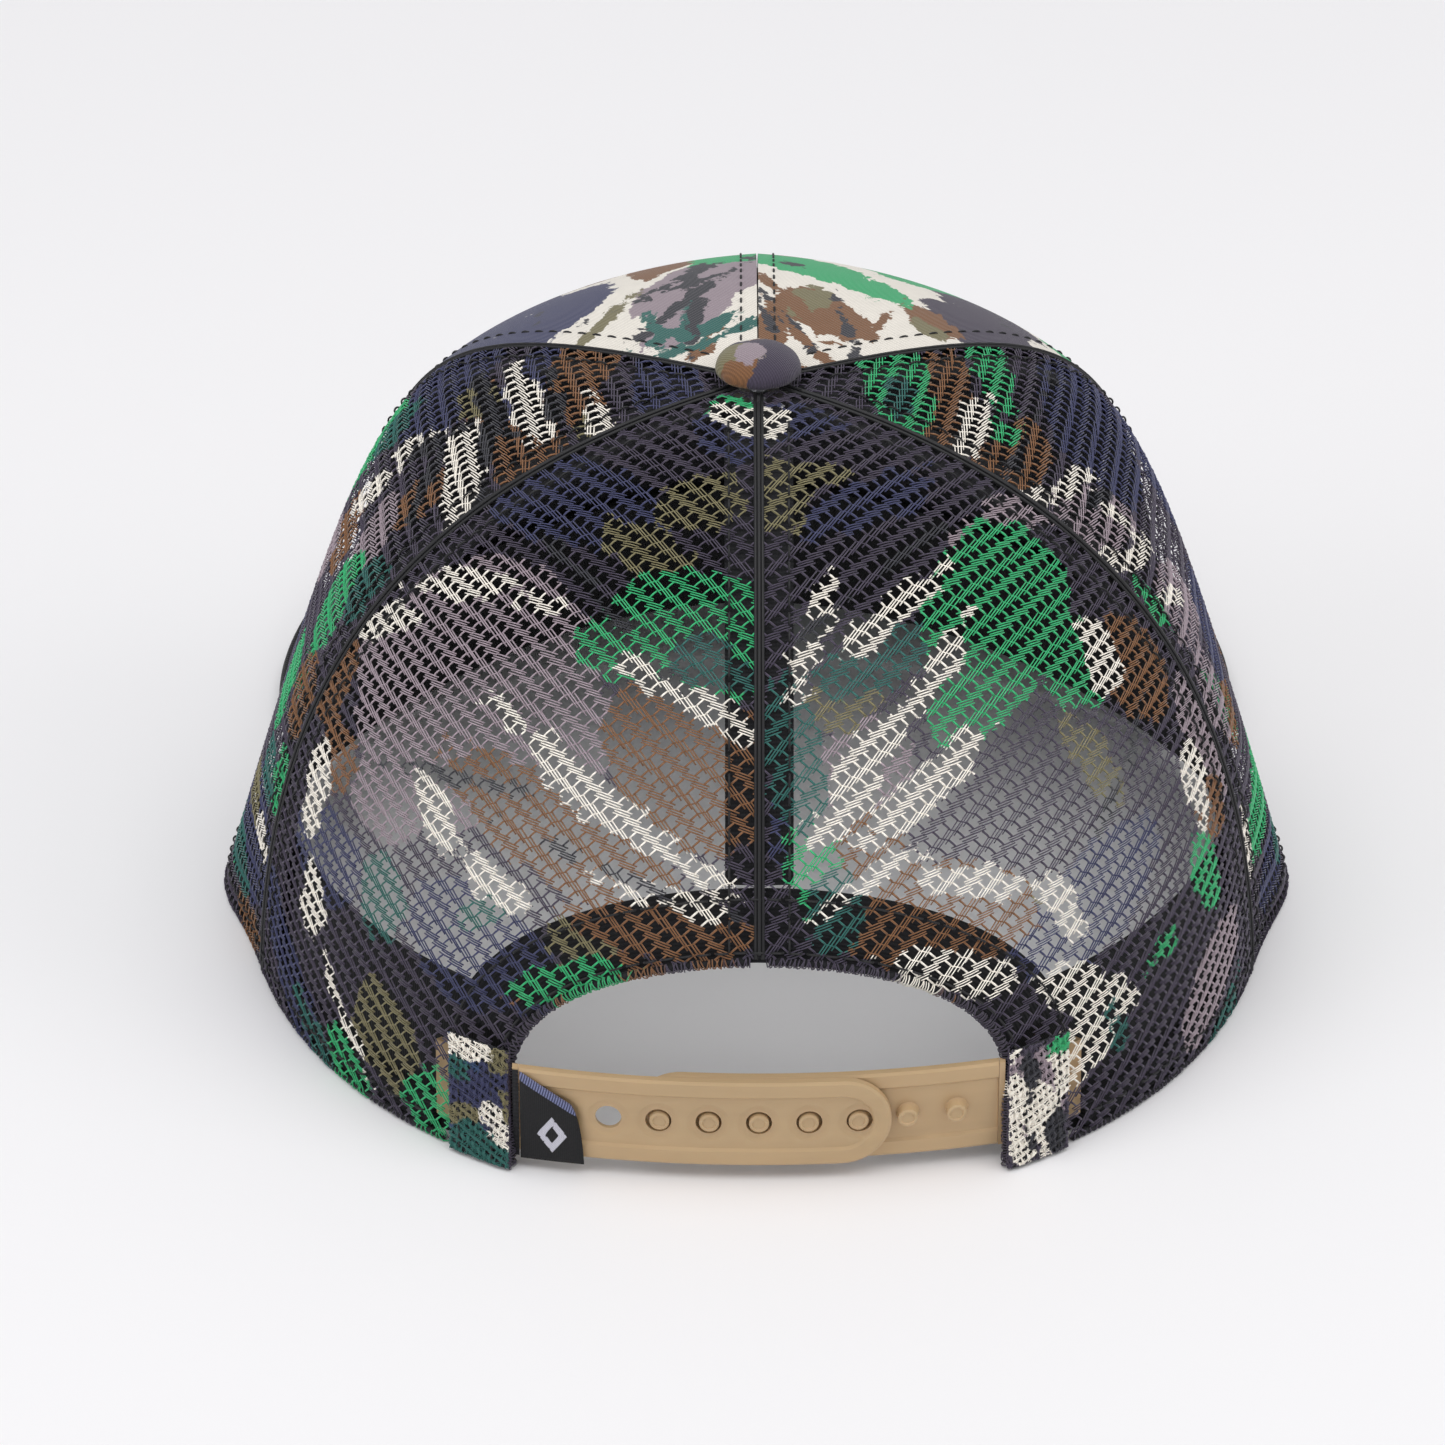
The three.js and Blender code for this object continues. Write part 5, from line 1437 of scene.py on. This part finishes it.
def label_material():
    shader = Shader("label_weave", roughness=0.75)
    x, z = uv_of(shader)
    weave = shader.math("MULTIPLY", shader.sine(x, 0.34), shader.sine(z, 0.28))
    # painted shade between the label's threads and painted highlight on them
    color = shader.shade(linear("0d0d11"), 0.75, 1.4, weave)
    below = shader.value("below_edge")
    ribs = shader.sine(shader.math("ADD", x, shader.math("MULTIPLY", z, 0.3)), 0.5)
    selvedge = shader.mix(ribs, linear("232a4d"), linear("8a90b8"))
    color = shader.mix(shader.ramp(below, 1.3, 1.15), color, selvedge)
    mark = shader.value("mark")
    # painted shade between the satin stitches of the mark and painted highlight on them
    satin = shader.shade(linear("d9d8e4"), 0.84, 1.06, shader.sine(shader.math("ADD", x, z), 0.36))
    color = shader.mix(shader.ramp(mark, -0.05, 0.05), color, satin)
    shader.set("Base Color", color)
    shader.surface.inputs["Base Color"].default_value = linear("0d0d11")
    height = shader.math("ADD", weave, shader.math("MULTIPLY", shader.ramp(mark, -0.1, 0.1), 1.5))
    shader.set("Normal", shader.bump(height, 0.00012))
    return shader.material


label_radius = STRAP_RADIUS + STRAP_GAP + LABEL_THICKNESS
points, faces, flat = cut_plate(
    label_outline, [], [], label_height, LABEL_THICKNESS, label_radius, (0.8, 0.8))
x, z = flat.T
MARK_X, MARK_Z = 36.4, 7.9
diamond = 1 - np.abs(x - MARK_X) / 2.7 - np.abs(z - MARK_Z) / 3.7
inner_diamond = 1 - np.abs(x - MARK_X) / 1.2 - np.abs(z - MARK_Z) / 1.7
mark = np.minimum(diamond * 2.2, -inner_diamond)
label = new_piece("flag_label_cloth", points, faces, label_material(), body="flag_label", slot="label_weave",
                  replaces=["flag_label"], crease=40,
                  fields={"cloth": np.stack([x, z, 0 * x], 1), "below_edge": label_edge(x, z), "mark": mark})

# ---------------------------------------------------------------- button
BUTTON_RADIUS, BUTTON_SEAT, BUTTON_HEIGHT, BUTTON_EDGE = 7.7, CROWN_HEIGHT + 1.2, 5.2, 1.0
profile = [(0.0, 0.25), (6.2, 0.2), (7.1, 0.05), (7.55, 0.35)]
for step in np.linspace(0, np.pi / 2, 16):
    rise = BUTTON_EDGE + (BUTTON_HEIGHT - BUTTON_EDGE) * math.sin(step)
    profile.append((BUTTON_RADIUS * math.cos(step), rise))
r, z = np.array(profile).T
ring = np.linspace(0, 2 * np.pi, 97)[:-1]
turn = ring[None, :]
wrinkle = 1 + 0.012 * np.sin(turn * 9) * np.clip((3.4 - z[:, None]) / 3.4, 0, 1)
x, y = r[:, None] * np.cos(turn) * wrinkle, r[:, None] * np.sin(turn) * wrinkle
z = np.broadcast_to(BUTTON_SEAT + z[:, None], x.shape)
i, k = np.meshgrid(np.arange(len(profile) - 1), np.arange(96), indexing="ij")
after = (k + 1) % 96
faces = np.stack([i * 96 + k, i * 96 + after, (i + 1) * 96 + after, (i + 1) * 96 + k], -1).reshape(-1, 4)
BUTTON_PRINT = [
    ("olive", [(4.6, 2.4, 5.2, 4.6, 0), (6.6, -1.0, 2.4, 3.0, 0)]),
    ("brown", [(5.0, 5.2, 4.4, 2.8, 0), (0.4, -5.6, 3.6, 1.9, 0)]),
    ("mauve", [(1.2, 1.6, 1.9, 3.4, 0)]),
    ("cream", [(2.6, -5.4, 2.6, 1.5, 0)]),
]
fields = oval_fields(BUTTON_PRINT, x.ravel(), y.ravel())
fields["cloth"] = np.stack([x.ravel(), y.ravel(), 0 * x.ravel()], 1)
points = np.stack([x, y, z], -1).reshape(-1, 3)
BUTTON_CAMO = camo_material("camo_button", "plum", [ink for ink, _ in BUTTON_PRINT], False)
new_piece("button_cloth", points, faces, BUTTON_CAMO, slot="camo_button",
          replaces=["top_button"], fields=fields, crease=180)


# ---------------------------------------------------------------- visor
def visor_point(share, out, level):
    a, s = share * FRONT_SIDE, 0 * share
    root = crown(a, s) + LAYER_GAP * 0.6 * crown_normal(a, s)
    turn = np.radians(share * VISOR_WRAP)
    x, y = VISOR_HALF_WIDTH * np.sin(turn), VISOR_CENTER_Y - VISOR_REACH * np.cos(turn)
    z = RIBS["foot"][0] - VISOR_DROP * (x / VISOR_HALF_WIDTH) ** 2
    point = root + (np.stack([x, y, z], -1) - root) * np.asarray(out)[..., None]
    point[..., 2] += level
    return point


VISOR_PRINT = [
    ("navy", [(-60, -95, 22, 12, 20), (25, -140, 24, 11, -10), (62, -110, 12, 20, 0)]),
    ("mauve", [(0, -110, 24, 13, 25), (-35, -145, 18, 8, 0)]),
    ("olive", [(-25, -105, 12, 6, 30), (50, -135, 16, 6, -30), (75, -85, 8, 9, 0)]),
    ("brown", [(-50, -130, 17, 8, -30), (35, -100, 22, 6, 20), (5, -155, 15, 5, 0)]),
    ("green", [(-72, -100, 11, 15, 0), (12, -128, 17, 9, 0), (60, -140, 10, 9, 0), (-15, -150, 12, 6, 0)]),
    ("cream", [(-15, -120, 20, 3, 40), (45, -115, 15, 3, -20), (-40, -112, 12, 3, 10), (25, -150, 9, 3, 20)]),
    ("coal", [(-5, -135, 24, 1.4, -25), (50, -100, 18, 1.3, 35), (-60, -115, 15, 1.3, 60)]),
]
VISOR_CAMO = camo_material("camo_visor", "plum", [ink for ink, _ in VISOR_PRINT], False)
UNDER_VISOR = woven_material("visor_under_cloth", "2f3d36", pitch=0.8, light=1.3)
BOARD = woven_material("visor_board", "e4e4e2", pitch=2.6, roughness=0.6, depth=0.00004, light=1.02)


def visor_layer(name, node, level, thickness, material, slot, inset):
    share, out = np.linspace(-1 + inset / 150, 1 - inset / 150, 161), np.linspace(0.004, 1 - inset / 84, 61)
    share, out = np.meshgrid(share, out, indexing="ij")
    top, low = visor_point(share, out, level + thickness), visor_point(share, out, level)
    points, faces = slab(top, low)
    fields = {"cloth": points * [1, 1, 0]}
    fields.update(oval_fields(VISOR_PRINT, points[:, 0], points[:, 1]))
    piece = new_piece(name, points, faces, material, slot=slot, replaces=[node], fields=fields)
    return piece, *measured(top)


visor_top, top_size, top_area = visor_layer(
    "visor_top_cloth", "visor_top_cover", 3.4, CLOTH, VISOR_CAMO, "visor_top_cloth", 1.2)
visor_under, under_size, under_area = visor_layer(
    "visor_under_cloth", "visor_under_cover", 0.0, CLOTH, UNDER_VISOR, "visor_under_cloth", 1.2)
visor_layer("visor_stiffener", "visor_board", 1.1, 2.0, BOARD, "visor_board", 2.0)
rows = []
share = np.linspace(-1, 1, 300)
up = np.broadcast_to([0.0, 0.0, 1.0], (300, 3))
for out in np.linspace(0.14, 0.93, 8):
    full = np.full(300, out)
    rows.append(dashes(visor_point(share, full, 4.2), up))
    rows.append(dashes(visor_point(share, full, 0.0), -up))
new_piece("visor_stitches", *joined(rows), BLACK_THREAD, crease=180)
angle = np.radians(np.linspace(-118, 118, 15))
share = np.linspace(-0.995, 0.995, 241)
edge = visor_point(share, np.full(241, 0.985), 2.1)
inward = unit(visor_point(share, np.full(241, 0.9), 2.1) - edge)
binding = np.stack([edge - 1.1 * math.cos(t) * inward + [0, 0, 2.35 * math.sin(t)] for t in angle], 1)
lining = np.stack([edge - 0.45 * math.cos(t) * inward + [0, 0, 2.02 * math.sin(t)] for t in angle], 1)
points, faces = slab(binding, lining)
fields = {f"layer_{index}": np.full(len(points), -30.0) for index in range(len(VISOR_PRINT))}
fields["cloth"] = points * [1, 1, 0]
visor_binding = new_piece("visor_binding", points, faces, BLACK_TAPE, slot="black_tape", fields=fields)
